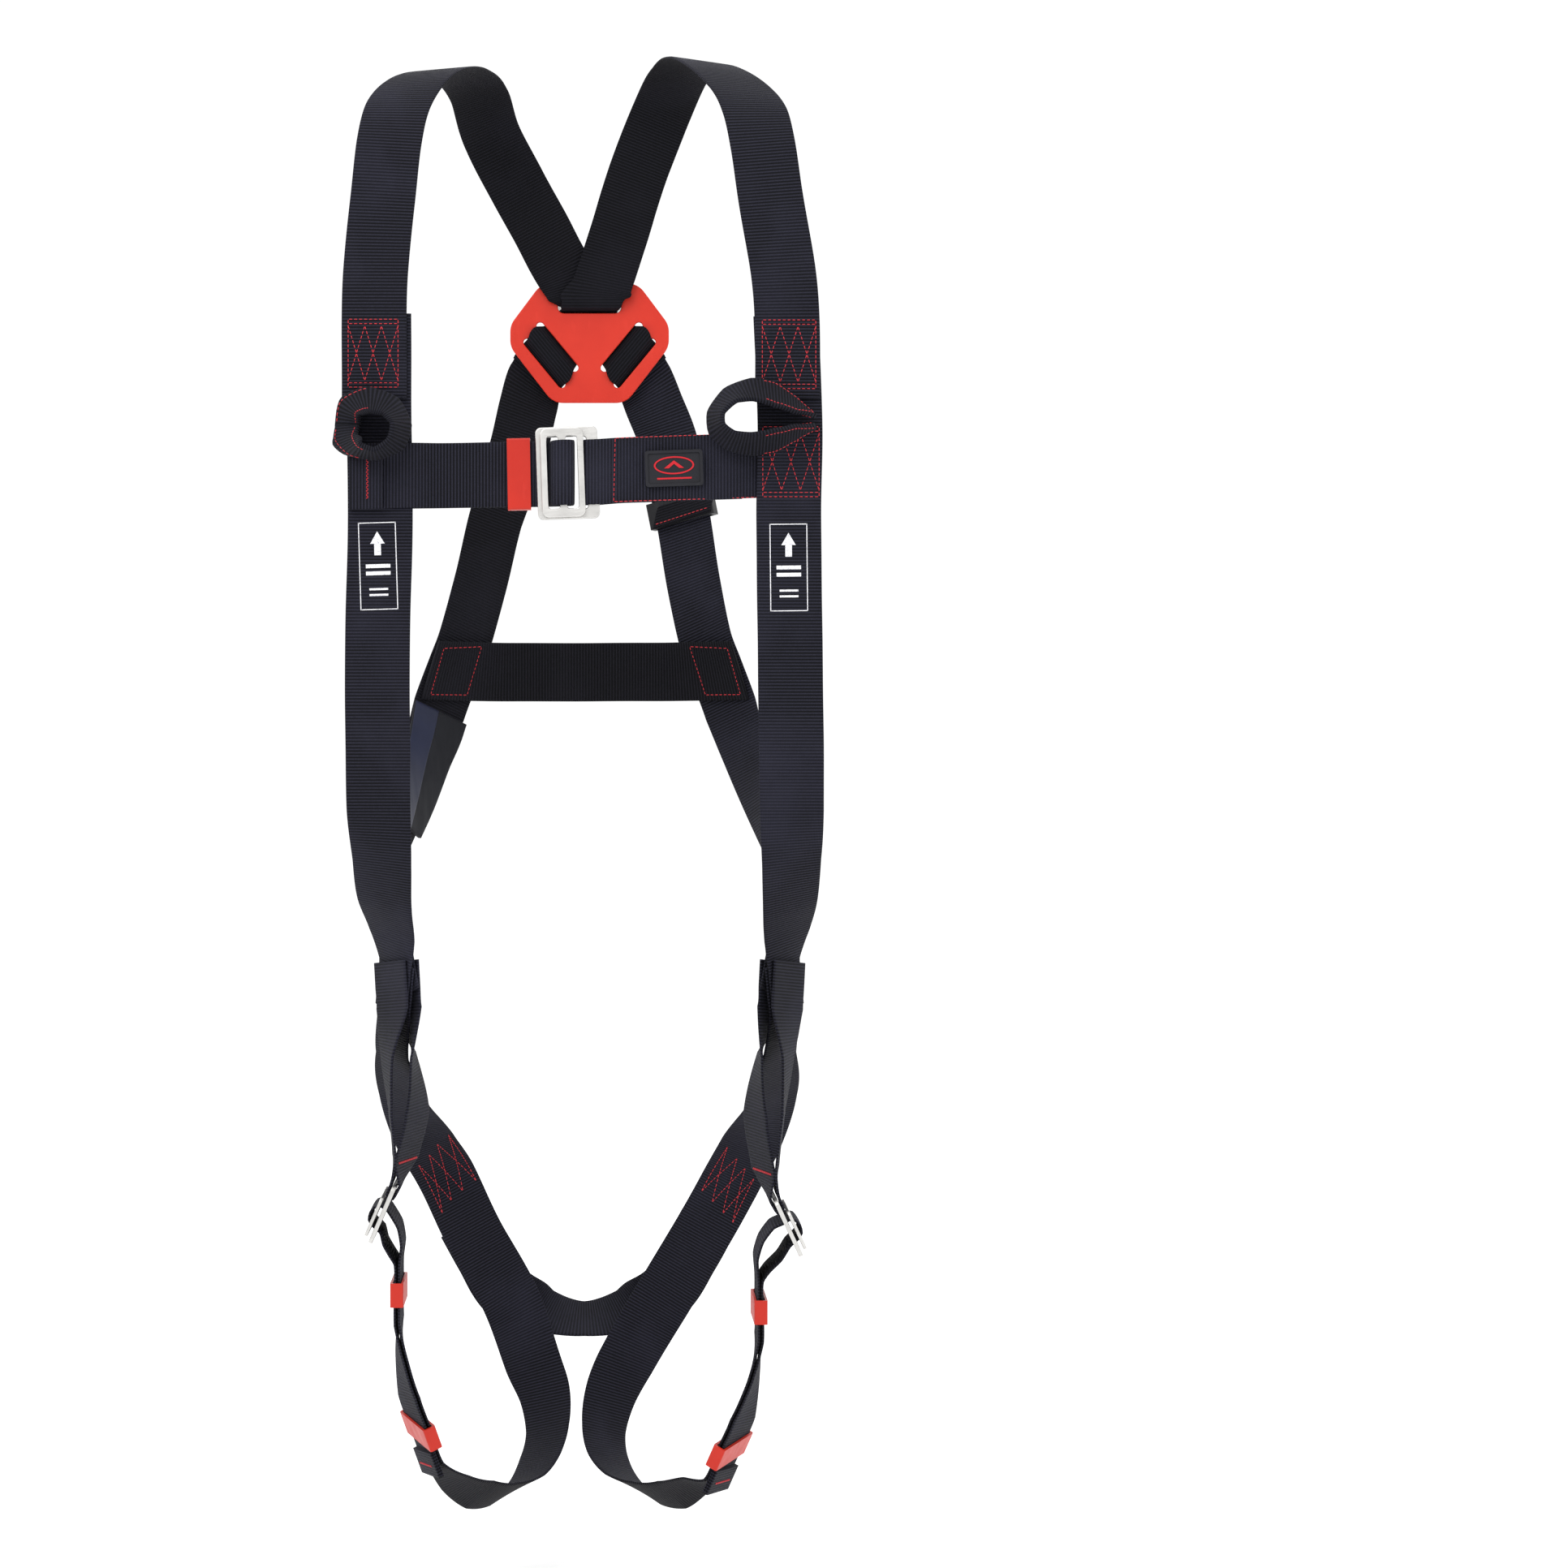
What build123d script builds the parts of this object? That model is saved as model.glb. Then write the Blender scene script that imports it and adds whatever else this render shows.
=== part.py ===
from build123d import *
from math import ceil, cos, radians, sin
import os

# Full body fall-arrest harness, hanging as it is worn.  Millimetres, +Z up, front towards -Y.
# The origin is the middle of the eye of the dorsal D-ring; "left" is the -X side.

# ---- driving dimensions ----
WEB_WIDTH = 45.0            # every strap is cut from the same 45 mm webbing
WEB_THICK = 2.0             # one layer of webbing
LAYER = 2.8                 # pitch of two layers that are sewn together
STEP = 16.0                 # longest straight piece of a strap's outline

FRONT_Y = -250.0            # the front straps hang in this plane
BAND_Z = -281.0             # middle of the lumbar band

PLATE_Y = -30.5             # middle of the dorsal plate's thickness
PLATE_THICK = 3.0
RING_BAR = (0, -24.6, -7)        # middle of the straight bar of the D-ring
RING_ROD = 7.0
RING_TILT = 15.9            # the bow points this far above level at rest

HIP_X, HIP_Y, HIP_Z = 139.0, -165.0, -507.0     # the sewn joint on each hip
HIP_TURN = 33.4             # how far the joint faces forwards from straight sideways

FRAME_LENGTH, FRAME_WIDTH, FRAME_THICK = 43.0, 64.0, 3.0
FRAME_BAR_TIGHT, FRAME_BAR_LOOP = 6.0, 8.0      # bar beside the adjuster, bar in the sewn loop
PLATE_LENGTH, PLATE_WIDTH, BUCKLE_PLATE_THICK = 30.0, 62.0, 2.4
BUCKLE_WINDOW = 50.0        # both buckle windows clear the webbing by 2.5 mm a side
CROSSBAR = 5.0              # crossbar of the small plate, which the webbing wraps
PLATE_RISE = 4.8            # the small plate lies this far in front of the frame
PLATE_SHIFT = -3.4          # and this much towards the adjuster side

KEEPER_WALL = 1.7
KEEPER_GAP = 0.6            # free space round the webbing in a keeper

os.makedirs("parts", exist_ok=True)


def save(piece, name):
    piece.part.label = name
    export_step(piece.part, f"parts/{name}.step")


# ---- straps: a smooth line through stations (x, y, z, across x, y, z[, share of the width]) ----
def strap_frames(stations):
    """Centre, run direction, across direction and share of the width, all along a strap."""
    centres = [Vector(*s[:3]) for s in stations]
    sides = [Vector(*s[3:6]).normalized() for s in stations]
    shares = [s[6] if len(s) > 6 else 1.0 for s in stations]
    last = len(stations) - 1
    headings = []
    for i in range(last + 1):
        ahead = centres[min(i + 1, last)]
        behind = centres[max(i - 1, 0)]
        headings.append((ahead - behind).normalized())
    places = []
    for i in range(last):
        span = (centres[i + 1] - centres[i]).length
        steps = max(1, ceil(span / STEP))
        for k in range(steps):
            u = k / steps
            start = 2 * u**3 - 3 * u**2 + 1
            centre = (
                centres[i] * start
                + headings[i] * (span * (u**3 - 2 * u**2 + u))
                + centres[i + 1] * (1 - start)
                + headings[i + 1] * (span * (u**3 - u**2))
            )
            side = (sides[i] * (1 - u) + sides[i + 1] * u).normalized()
            places.append((centre, side, shares[i] * (1 - u) + shares[i + 1] * u))
    places.append((centres[last], sides[last], shares[last]))
    frames = []
    for i, (centre, side, share) in enumerate(places):
        ahead = places[min(i + 1, len(places) - 1)][0]
        behind = places[max(i - 1, 0)][0]
        frames.append((centre, (ahead - behind).normalized(), side, share))
    return frames


def webbing(stations, width=WEB_WIDTH, thickness=WEB_THICK):
    """One run of strap, lofted through flat rectangles with ruled faces."""
    with BuildPart() as piece:
        for centre, run, side, share in strap_frames(stations):
            normal = run.cross(side)
            cut = width * share / normal.length
            with BuildSketch(Plane(origin=centre, x_dir=side, z_dir=side.cross(normal))):
                Rectangle(cut, thickness)
        loft(ruled=True)
    return piece


def strap(name, stations, width=WEB_WIDTH, thickness=WEB_THICK):
    save(webbing(stations, width, thickness), name)


def layered(stations, rise):
    """The same run of strap, lifted off its own face by a distance."""
    lifted = []
    for i, s in enumerate(stations):
        ahead = Vector(*stations[min(i + 1, len(stations) - 1)][:3])
        behind = Vector(*stations[max(i - 1, 0)][:3])
        face = (ahead - behind).cross(Vector(*s[3:6])).normalized()
        centre = Vector(*s[:3]) + face * rise
        lifted.append((centre.X, centre.Y, centre.Z, *s[3:]))
    return lifted


def hip_station(side, along, lean, layer, sign):
    """A station at the sewn hip joint; layer counts outwards from the leg strap."""
    turn = radians(HIP_TURN)
    back = Vector(side * sin(turn), cos(turn), 0)
    out = Vector(side * cos(turn), -sin(turn), 0)
    down = Vector(0, 0, -1)
    slope = radians(lean)
    run = back * sin(slope) + down * cos(slope)
    across = (back * cos(slope) - down * sin(slope)) * sign
    centre = Vector(side * HIP_X, HIP_Y, HIP_Z) + run * along + out * (layer * LAYER)
    return (centre.X, centre.Y, centre.Z, across.X, across.Y, across.Z)


# ---- shoulder straps: chest, over the shoulder, through the dorsal plate to behind it ----
shoulder_left = [
    (-149, -252.8, -100, 1, 0, 0),
    (-149, -252.8, -49, 1, 0, 0),
    (-148, -252.8, -12, 1, 0, 0),
    (-143, -251, 41, 1, 0, -0.05),
    (-139, -247, 80, 1, 0, -0.05),
    (-133, -236, 108, 1, -0.05, 0),
    (-121, -214, 130, 0.97, -0.2, 0),
    (-106, -180, 145, 0.94, -0.33, 0),
    (-93, -135, 152, 0.92, -0.38, 0.05),
    (-83, -92, 148, 0.9, -0.38, 0.15),
    (-74, -57, 124, 0.88, -0.25, 0.35),
    (-55, -42, 90, 0.88, 0, 0.46),
    (-38, -38, 60, 0.88, 0, 0.47),
    (-23, -36, 32, 0.88, 0, 0.47),
    (-8, -35.4, 10, 0.97, 0, 0.2),
    (-2.5, -34.6, 3, 1, 0, 0, 0.97),
    (0, -30.5, 0.8, 1, 0, 0, 0.95),
    (2.5, -24.6, 0.8, 1, 0, 0, 0.8),
    (5.5, -18.4, -2.5, 1, 0, 0, 0.65),
    (8, -16.2, -8, 0.95, 0, 0.2, 0.6),
    (13, -17, -16, 0.8, 0, 0.5, 0.62),
    (22.4, -26.8, -29.1, 0.636, 0, 0.772, 0.86),
    (24.7, -30.5, -31, 0.636, 0, 0.772, 0.92),
    (27, -34, -32.9, 0.636, 0, 0.772, 0.98),
    (29.7, -34.5, -37.2, 0.636, 0, 0.772),
    (32.4, -34, -41.6, 0.636, 0, 0.772),
    (34.7, -30.5, -43.5, 0.636, 0, 0.772),
    (37, -27, -45.8, 0.65, 0, 0.76),
    (41.5, -26.2, -54, 0.75, 0, 0.66),
]
shoulder_right = [
    (137, -252.8, -100, 1, 0, 0),
    (137, -252.8, -49, 1, 0, 0),
    (134, -252.8, -12, 1, 0, 0.05),
    (125, -251, 41, 1, 0, 0.08),
    (120, -247, 78, 1, 0, 0.08),
    (115, -238, 103, 1, 0.05, 0),
    (107, -220, 122, 0.97, 0.2, 0),
    (92, -190, 143, 0.94, 0.33, 0),
    (78, -152, 158, 0.92, 0.38, -0.05),
    (67, -105, 160, 0.9, 0.38, -0.12),
    (55, -64, 143, 0.9, 0.25, -0.3),
    (40, -45, 108, 0.93, 0, -0.36),
    (31, -41, 82, 0.94, 0, -0.33),
    (22, -39.5, 52, 0.95, 0, -0.3),
    (9, -38.8, 14, 0.97, 0, -0.2),
    (3, -38.4, 5, 1, 0, 0),
    (1, -36.2, -1.2, 1, 0, 0),
    (0, -30.5, -2.4, 1, 0, 0, 0.95),
    (-2.5, -24.6, -2, 1, 0, 0, 0.8),
    (-6, -20, -4.2, 1, 0, 0, 0.65),
    (-8.5, -19.2, -9, 0.95, 0, -0.2, 0.6),
    (-13, -20, -17, 0.8, 0, -0.5, 0.62),
    (-22.4, -26.8, -29.1, 0.636, 0, -0.772, 0.86),
    (-24.7, -30.5, -31, 0.636, 0, -0.772, 0.92),
    (-27, -34, -32.9, 0.636, 0, -0.772, 0.98),
    (-29.7, -34.5, -37.2, 0.636, 0, -0.772),
    (-32.4, -34, -41.6, 0.636, 0, -0.772),
    (-34.7, -30.5, -43.5, 0.636, 0, -0.772),
    (-37, -27, -45.8, 0.65, 0, -0.76),
    (-41.5, -26.2, -54, 0.75, 0, -0.66),
]

# ---- back straps: behind the dorsal plate, past the lumbar band, round to the hip joint ----
back_left = [
    (-37.5, -23, -48, 0.72, 0, -0.69),
    (-42.5, -23.2, -58, 0.8, 0, -0.6),
    (-47, -24.6, -75, 0.93, 0, -0.36),
    (-55, -27, -110, 0.95, 0.1, -0.25),
    (-72, -31, -163, 0.85, 0.45, -0.28),
    (-84, -36, -214, 0.82, 0.46, -0.32),
    (-95.8, -42.3, -258, 0.805, 0.4625, -0.38),
    (-104, -47, -281, 0.805, 0.4625, -0.38),
    (-114.3, -52.9, -310, 0.805, 0.4625, -0.38),
    (-125, -68, -347, 0.62, 0.73, -0.3),
    (-138, -101, -400, 0.25, 0.92, -0.3),
    (-149, -139, -453, -0.2, 0.93, -0.32),
    hip_station(-1, -28, -20, -1, 1),
    hip_station(-1, -6, -20, -1, 1),
    hip_station(-1, 14, -20, -1, 1),
]
back_right = [
    (37.5, -23, -48, 0.72, 0, 0.69),
    (43, -23.2, -58, 0.8, 0, 0.6),
    (49, -24.6, -73, 0.9, 0, 0.43),
    (61, -27, -105, 0.97, -0.1, 0.22),
    (72, -31, -163, 0.88, -0.42, 0.25),
    (80, -36, -214, 0.85, -0.44, 0.3),
    (88.8, -42.3, -258, 0.805, -0.4625, 0.38),
    (97, -47, -281, 0.805, -0.4625, 0.38),
    (107.3, -52.9, -310, 0.805, -0.4625, 0.38),
    (118, -68, -347, 0.62, -0.73, 0.3),
    (132, -101, -400, 0.25, -0.92, 0.3),
    (145, -139, -453, -0.2, -0.93, 0.32),
    hip_station(1, -28, -20, -1, -1),
    hip_station(1, -6, -20, -1, -1),
    hip_station(1, 14, -20, -1, -1),
]

# ---- front straps: from under the chest seam, down the front, back to the hip joint ----
front_left = [
    (-146, FRONT_Y, -41, 1, 0, 0),
    (-146, FRONT_Y, -116, 1, 0, 0),
    (-145, FRONT_Y, -184, 1, 0, 0),
    (-147, FRONT_Y, -274, 1, 0, 0),
    (-147, -249, -335, 1, 0, 0),
    (-147, -240, -386, 0.99, -0.1, 0),
    (-146, -222, -422, 0.93, -0.33, -0.1),
    (-145.7, -199, -452, 0.88, -0.43, -0.18),
    (-142, -176, -476, 0.74, -0.62, -0.2),
    hip_station(-1, -10, 10, 1, -1),
    hip_station(-1, 8, 10, 1, -1),
    hip_station(-1, 24, 10, 1, -1),
]
front_right = [
    (136, FRONT_Y, -43, 1, 0, 0),
    (139, FRONT_Y, -116, 1, 0, 0),
    (138, FRONT_Y, -184, 1, 0, 0),
    (139, FRONT_Y, -274, 1, 0, 0),
    (140, -249, -335, 1, 0, 0),
    (141, -240, -386, 0.99, 0.1, 0),
    (142, -222, -422, 0.93, 0.33, 0.1),
    (142.7, -199, -452, 0.88, 0.43, 0.18),
    (142, -176, -476, 0.74, 0.62, 0.2),
    hip_station(1, -10, 10, 1, 1),
    hip_station(1, 8, 10, 1, 1),
    hip_station(1, 24, 10, 1, 1),
]

# ---- leg straps: hip joint, behind the thigh, crotch, and up the front to the leg buckle ----
leg_rear_left = [
    hip_station(-1, -12, 10, 0, -1),
    hip_station(-1, 6, 10, 0, -1),
    hip_station(-1, 24, 10, 0, -1),
    (-144.5, -138, -566, 0.5, -0.86, -0.05),
    (-138, -98, -603, 0.85, -0.47, -0.16),
    (-124, -57, -640, 0.92, -0.15, 0.3),
    (-110, -34, -668, 0.89, 0, 0.45),
    (-89, -31, -713, 0.87, 0, 0.48),
    (-61, -31, -763, 0.85, 0, 0.52),
    (-43, -36, -812, 0.92, -0.2, 0.33),
    (-34, -44, -835, 0.84, -0.45, 0.28),
    (-32, -57, -857, 0.72, -0.62, 0.3),
    (-37, -76, -873, 0.66, -0.7, 0.25),
    (-47, -100, -885, 0.6, -0.72, 0.33),
    (-63, -125, -890, 0.5, -0.68, 0.52),
    (-80, -147, -885, 0.45, -0.68, 0.56),
    (-97, -165, -872, 0.42, -0.8, 0.38),
]
leg_front_left = [
    (-111.5, -178.6, -852.5, 0.32, -0.92, 0.12),
    (-119.5, -184.5, -828, 0.32, -0.92, 0.12),
    (-127.5, -190.4, -803.5, 0.32, -0.92, 0.12),
    (-132.5, -191, -775, 0.18, -0.98, 0),
    (-134.7, -190, -750, 0, -1, 0),
    (-134.7, -190, -728, 0, -1, 0),
    (-134.7, -190, -707, 0, -1, 0),
]
leg_rear_right = [
    hip_station(1, -12, 10, 0, -1),
    hip_station(1, 6, 10, 0, -1),
    hip_station(1, 24, 10, 0, -1),
    (139, -138, -566, -0.52, -0.85, -0.05),
    (136, -98, -603, -0.85, -0.47, -0.16),
    (122, -57, -642, -0.92, -0.15, 0.3),
    (107, -34, -675, -0.89, 0, 0.45),
    (86, -31, -713, -0.87, 0, 0.48),
    (56, -31, -763, -0.85, 0, 0.52),
    (27, -36, -812, -0.9, -0.2, 0.38),
    (16, -44, -835, -0.84, -0.45, 0.33),
    (11, -57, -857, -0.72, -0.62, 0.32),
    (14, -76, -873, -0.66, -0.7, 0.27),
    (25, -100, -884, -0.6, -0.72, 0.33),
    (42, -125, -889, -0.5, -0.68, 0.52),
    (60, -147, -885, -0.45, -0.68, 0.56),
    (77, -165, -873, -0.42, -0.8, 0.38),
]
leg_front_right = [
    (90, -177.6, -864.5, -0.37, -0.9, 0.12),
    (99, -184, -842, -0.37, -0.9, 0.12),
    (108, -190.4, -819.5, -0.37, -0.9, 0.12),
    (115.5, -191, -790, -0.18, -0.98, 0),
    (119.6, -190, -762, 0, -1, 0),
    (119.6, -190, -740, 0, -1, 0),
    (119.6, -190, -719, 0, -1, 0),
]

# Each leg buckle lies in this plane: local x towards the sewn loop, local z away from the thigh.
leg_buckle_left = Plane(origin=(-146, -190, -670.5), x_dir=(0.4, 0, 0.917), z_dir=(-0.917, 0, 0.4))
leg_buckle_right = Plane(origin=(140, -190, -680), x_dir=(-0.424, 0, 0.906), z_dir=(0.906, 0, 0.424))
chest_buckle = Plane(origin=(-15.2, FRONT_Y, -151.5), x_dir=(1, 0, 0.035), z_dir=(0, -1, 0))

# The webbing's turn round the crossbar, as local x and z of its middle line.
crossbar_turn = [(3.3, -1.5), (4, 3.2), (1.3, 7.2), (-3.4, 8.3), (-8.1, 7.2), (-10.8, 3.2), (-11.8, 0)]
# The sewn loop's turn round the frame's wide bar, from the front layer to the rear one.
loop_turn = [(22.0, 3.3), (16.0, 3.0), (12.0, 2.4), (10.6, 0), (12.0, -2.4), (16.0, -3.0), (22.0, -3.3)]


def turn_stations(plane, turn, across):
    places = [plane.from_local_coords(Vector(x, 0, z)) for x, z in turn]
    return [(p.X, p.Y, p.Z, *across) for p in places]


leg_entry_left = [(-133.2, -190, -694, 0, -1, 0), (-135.5, -190, -681, 0, -1, 0)]
leg_exit_left = [(-147.6, -190, -684.5, 0, -1, 0), (-145.5, -190, -693, 0, -1, 0), (-141, -190, -701, 0, -1, 0)]
leg_entry_right = [(118.6, -190, -704, 0, -1, 0), (122.5, -190, -691, 0, -1, 0), (130, -190, -681, 0, -1, 0)]
leg_exit_right = [(141.5, -190, -694, 0, -1, 0), (135.5, -190, -703.5, 0, -1, 0), (127, -190, -712, 0, -1, 0)]

# ---- chest strap: the adjustable half on the left, the sewn half on the right ----
CHEST_REAR_Y = -244.2       # the anchored layer, behind the tail
CHEST_TAIL_Y = -247.2       # the tail, between the anchored layer and the frame
UP = (0, 0, 1)
chest_anchor = [
    (-166, -247.2, -154.5, *UP),
    (-126, -247.2, -153.5, *UP),
    (-103, CHEST_REAR_Y, -153, *UP),
    (-60, CHEST_REAR_Y, -152.2, *UP),
    (-30, CHEST_REAR_Y, -151.8, *UP),
    (-17, -245.2, -151.5, *UP),
]
chest_tail = [
    (-29.8, CHEST_TAIL_Y, -151.8, *UP),
    (-36, CHEST_TAIL_Y, -151.9, *UP),
    (-60, CHEST_TAIL_Y, -152.2, *UP),
    (-103, CHEST_TAIL_Y, -153, *UP),
    (-122, -252, -153.4, *UP),
    (-136, -252.8, -153.7, *UP),
    (-145, -252.8, -153.9, *UP),
]
chest_end = [(-143, -254.3, -153.8, *UP), (-166, -254.3, -154.5, *UP)]
chest_front_layer = [
    (158, -247.2, -145, *UP),
    (116, -247.2, -146, *UP),
    (92, -249.2, -147, *UP),
    (78, -249.4, -147.4, *UP),
    (38, -249.4, -148.8, *UP),
    (20, -250.6, -149.6, *UP),
]
chest_rear_layer = [
    (20, -247, -149.6, *UP),
    (38, -246.6, -148.8, *UP),
    (92, -246.4, -147, *UP),
    (106, -245.4, -146.4, *UP),
]

chest_run = webbing(chest_anchor + turn_stations(chest_buckle, crossbar_turn, UP) + chest_tail)
chest_fold = webbing(chest_end, WEB_WIDTH + 0.6, 5.0)
with BuildPart() as chest_strap_left:
    add(chest_run.part)
    add(chest_fold.part)
save(chest_strap_left, "chest_strap_left")

strap(
    "chest_strap_right",
    chest_front_layer + turn_stations(chest_buckle, loop_turn, UP) + chest_rear_layer,
)

# ---- long straps ----
strap("shoulder_strap_left", shoulder_left)
strap("shoulder_strap_right", shoulder_right)
strap("front_strap_left", front_left)
strap("front_strap_right", front_right)
strap("back_strap_left", back_left)
strap("back_strap_right", back_right)

lumbar_stations = [
    (-121, -63, BAND_Z, 0.29, 0, 0.96),
    (-102.7, -52.6, BAND_Z, 0.2, 0, 0.98),
    (-85, -42.8, BAND_Z, 0.1, 0, 0.99),
    (-60, -33.5, BAND_Z, *UP),
    (-3, -29, BAND_Z, *UP),
    (54, -33.5, BAND_Z, *UP),
    (78, -42.8, BAND_Z, -0.1, 0, 0.99),
    (95.7, -52.6, BAND_Z, -0.2, 0, 0.98),
    (114, -63, BAND_Z, -0.29, 0, 0.96),
]
strap("lumbar_band", lumbar_stations)

sub_pelvic_stations = [
    (-95, -26.6, -705, 0.86, 0, 0.5),
    (-81, -26.6, -730, 0.85, 0, 0.53),
    (-64, -20.5, -759, 0.78, 0.18, 0.6),
    (-38, -11, -775, 0.4, 0.78, 0.48),
    (-4, -7, -782.6, 0, 0.907, 0.42),
    (31, -11, -775, -0.4, 0.78, 0.48),
    (59, -20.5, -759, -0.78, 0.18, 0.6),
    (77, -26.6, -730, -0.85, 0, 0.53),
    (91, -26.6, -705, -0.86, 0, 0.5),
]
strap("sub_pelvic_strap", sub_pelvic_stations)

# ---- leg straps with their tails and folded ends, and the sewn loops that hold the buckles ----
legs = {
    "left": (-1, leg_rear_left, leg_entry_left, leg_buckle_left, leg_exit_left, leg_front_left),
    "right": (1, leg_rear_right, leg_entry_right, leg_buckle_right, leg_exit_right, leg_front_right),
}
loop_outer = {
    "left": [(-146, -172, -562), (-143, -179, -602), (-139.5, -187, -634)],
    "right": [(143, -172, -562), (139, -179, -602), (134, -187, -642)],
}
loop_inner = {
    "left": [(-131, -187, -636), (-123.5, -180, -602), (-127, -173, -562)],
    "right": [(124.5, -187, -644), (119, -180, -604), (123, -173, -562)],
}
TAIL_END, TAIL_SPARE = 20.0, 9.0        # folded end of a tail, and how far it passes the last station
HIP_LAP = (-12, 5, 22)      # how far the loop's webbing is sewn along the hip joint
HIP_LEAN = -6               # degrees the loop's webbing leans there
for name, (side, rear, entry, buckle, leave, front) in legs.items():
    tail = layered(front, side * LAYER)[::-1]
    end_start = Vector(*tail[-1][:3])
    end_run = (end_start - Vector(*tail[-2][:3])).normalized()
    end_face = end_run.cross(Vector(*tail[-1][3:6])).normalized() * (-side)
    end_centre = end_start + end_face * 1.6
    end_finish = end_centre + end_run * TAIL_SPARE
    end_begin = end_finish - end_run * TAIL_END
    folded_end = [(p.X, p.Y, p.Z, *tail[-1][3:6]) for p in (end_begin, end_finish)]
    turn = turn_stations(buckle, crossbar_turn, (0, -1, 0))
    leg_run = webbing(rear + front + entry + turn + leave + tail)
    leg_fold = webbing(folded_end, WEB_WIDTH + 0.6, 4.4)
    with BuildPart() as leg_strap:
        add(leg_run.part)
        add(leg_fold.part)
    save(leg_strap, f"leg_strap_{name}")

    outer = [(x, y, z, side * 0.25, 0.97, 0) for x, y, z in loop_outer[name][:1]]
    outer += [(x, y, z, side * 0.1, 0.99, 0) for x, y, z in loop_outer[name][1:]]
    inner = [(x, y, z, side * -0.3, 0.95, 0) for x, y, z in loop_inner[name][:2]]
    inner += [(x, y, z, 0, 1, 0) for x, y, z in loop_inner[name][2:]]
    strap(
        f"hip_loop_{name}",
        [hip_station(side, along, HIP_LEAN, 2, 1) for along in HIP_LAP]
        + outer
        + turn_stations(buckle, loop_turn, (0, 1, 0))
        + inner
        + [hip_station(side, along, HIP_LEAN, -2, 1) for along in reversed(HIP_LAP)],
    )

# ---- chest attachment loops: webbing folded to half its width, sewn down at its base ----
LOOP_WIDTH = 24.0
LOOP_THICK = 3.6
chest_loop_right = [
    (156, -259, -113.4, 0, -1, -0.1, 0.3),
    (142, -264, -106.5, 0, -0.7, -0.72, 0.7),
    (127, -268, -99.5, 0, -0.62, -0.78),
    (112, -270, -96.5, 0.1, -0.7, -0.7),
    (97, -270, -100.5, 0.35, -0.8, -0.4),
    (87, -270, -112, 0.4, -0.9, -0.1),
    (87.5, -270, -123, 0.35, -0.9, 0.15),
    (97, -270, -131, 0.2, -0.9, 0.35),
    (112, -270, -133.5, 0, -0.85, 0.5),
    (127, -268, -131, 0, -0.8, 0.55),
    (142, -264, -125, 0, -0.8, 0.5, 0.7),
    (156, -259, -120, 0, -1, 0.1, 0.3),
]
chest_loop_left = [
    (-167, -258.5, -119.4, 0.9, -0.43, 0, 0.8),
    (-165, -264, -108, 0.6, -0.6, -0.5, 0.95),
    (-152, -270, -103.5, 0.1, -0.6, -0.79),
    (-137, -270, -108, -0.4, -0.7, -0.5),
    (-129.5, -270, -120, -0.5, -0.85, 0),
    (-133, -270, -133, -0.35, -0.9, 0.15),
    (-147, -271.2, -140.5, 0, -0.97, 0.15),
    (-161, -270.8, -137, 0.35, -0.9, 0.2),
    (-168, -263, -129, 0.7, -0.7, 0.1, 0.95),
    (-167, -258.5, -120.4, 0.9, -0.43, 0, 0.8),
]
strap("chest_loop_left", chest_loop_left, LOOP_WIDTH, LOOP_THICK)
strap("chest_loop_right", chest_loop_right, LOOP_WIDTH, LOOP_THICK)

# ---- dorsal plate: moulded, with one level slot and two pairs of slanted slots ----
plate_plane = Plane(origin=(0, PLATE_Y + PLATE_THICK / 2, 0), x_dir=(1, 0, 0), z_dir=(0, -1, 0))
plate_half = [(37, 18), (61, -14), (61, -31), (28, -74)]
plate_outline = plate_half + [(-x, z) for x, z in reversed(plate_half)]
SLOT_LONG, SLOT_TALL = 47.4, 5.8
SLOT_ANGLE = 50.5
with BuildPart() as dorsal_plate:
    with BuildSketch(plate_plane) as outline:
        with BuildLine():
            Polyline(*plate_outline, close=True)
        make_face()
        fillet(outline.vertices(), radius=16)
    extrude(amount=PLATE_THICK)
    with BuildSketch(plate_plane):
        with Locations((0, -0.5)):
            SlotOverall(48.6, 9.2)
        for side in (-1, 1):
            with Locations((side * 24.7, -31), (side * 34.7, -43.5)):
                SlotOverall(SLOT_LONG, SLOT_TALL, rotation=side * SLOT_ANGLE)
    extrude(amount=PLATE_THICK, mode=Mode.SUBTRACT)
save(dorsal_plate, "dorsal_plate")

# ---- dorsal D-ring: a bent rod, held by its straight bar between the plate and the straps ----
tilt = radians(RING_TILT)
ring_plane = Plane(origin=RING_BAR, x_dir=(1, 0, 0), z_dir=(0, -sin(tilt), cos(tilt)))
RING_HALF_BAR, RING_HALF_BOW, RING_REACH = 48.0, 27.0, 56.0
with BuildPart() as dorsal_d_ring:
    with BuildLine(ring_plane) as ring_line:
        bar = Line((-RING_HALF_BAR + 9, 0), (RING_HALF_BAR - 9, 0))
        FilletPolyline(
            bar @ 1,
            (RING_HALF_BAR, 0),
            (RING_HALF_BOW, RING_REACH),
            (-RING_HALF_BOW, RING_REACH),
            (-RING_HALF_BAR, 0),
            bar @ 0,
            radius=[6, 20, 20, 6],
        )
    with BuildSketch(Plane(origin=RING_BAR, z_dir=(1, 0, 0))):
        Circle(RING_ROD / 2)
    sweep(path=ring_line.wire())
save(dorsal_d_ring, "dorsal_d_ring")


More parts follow.
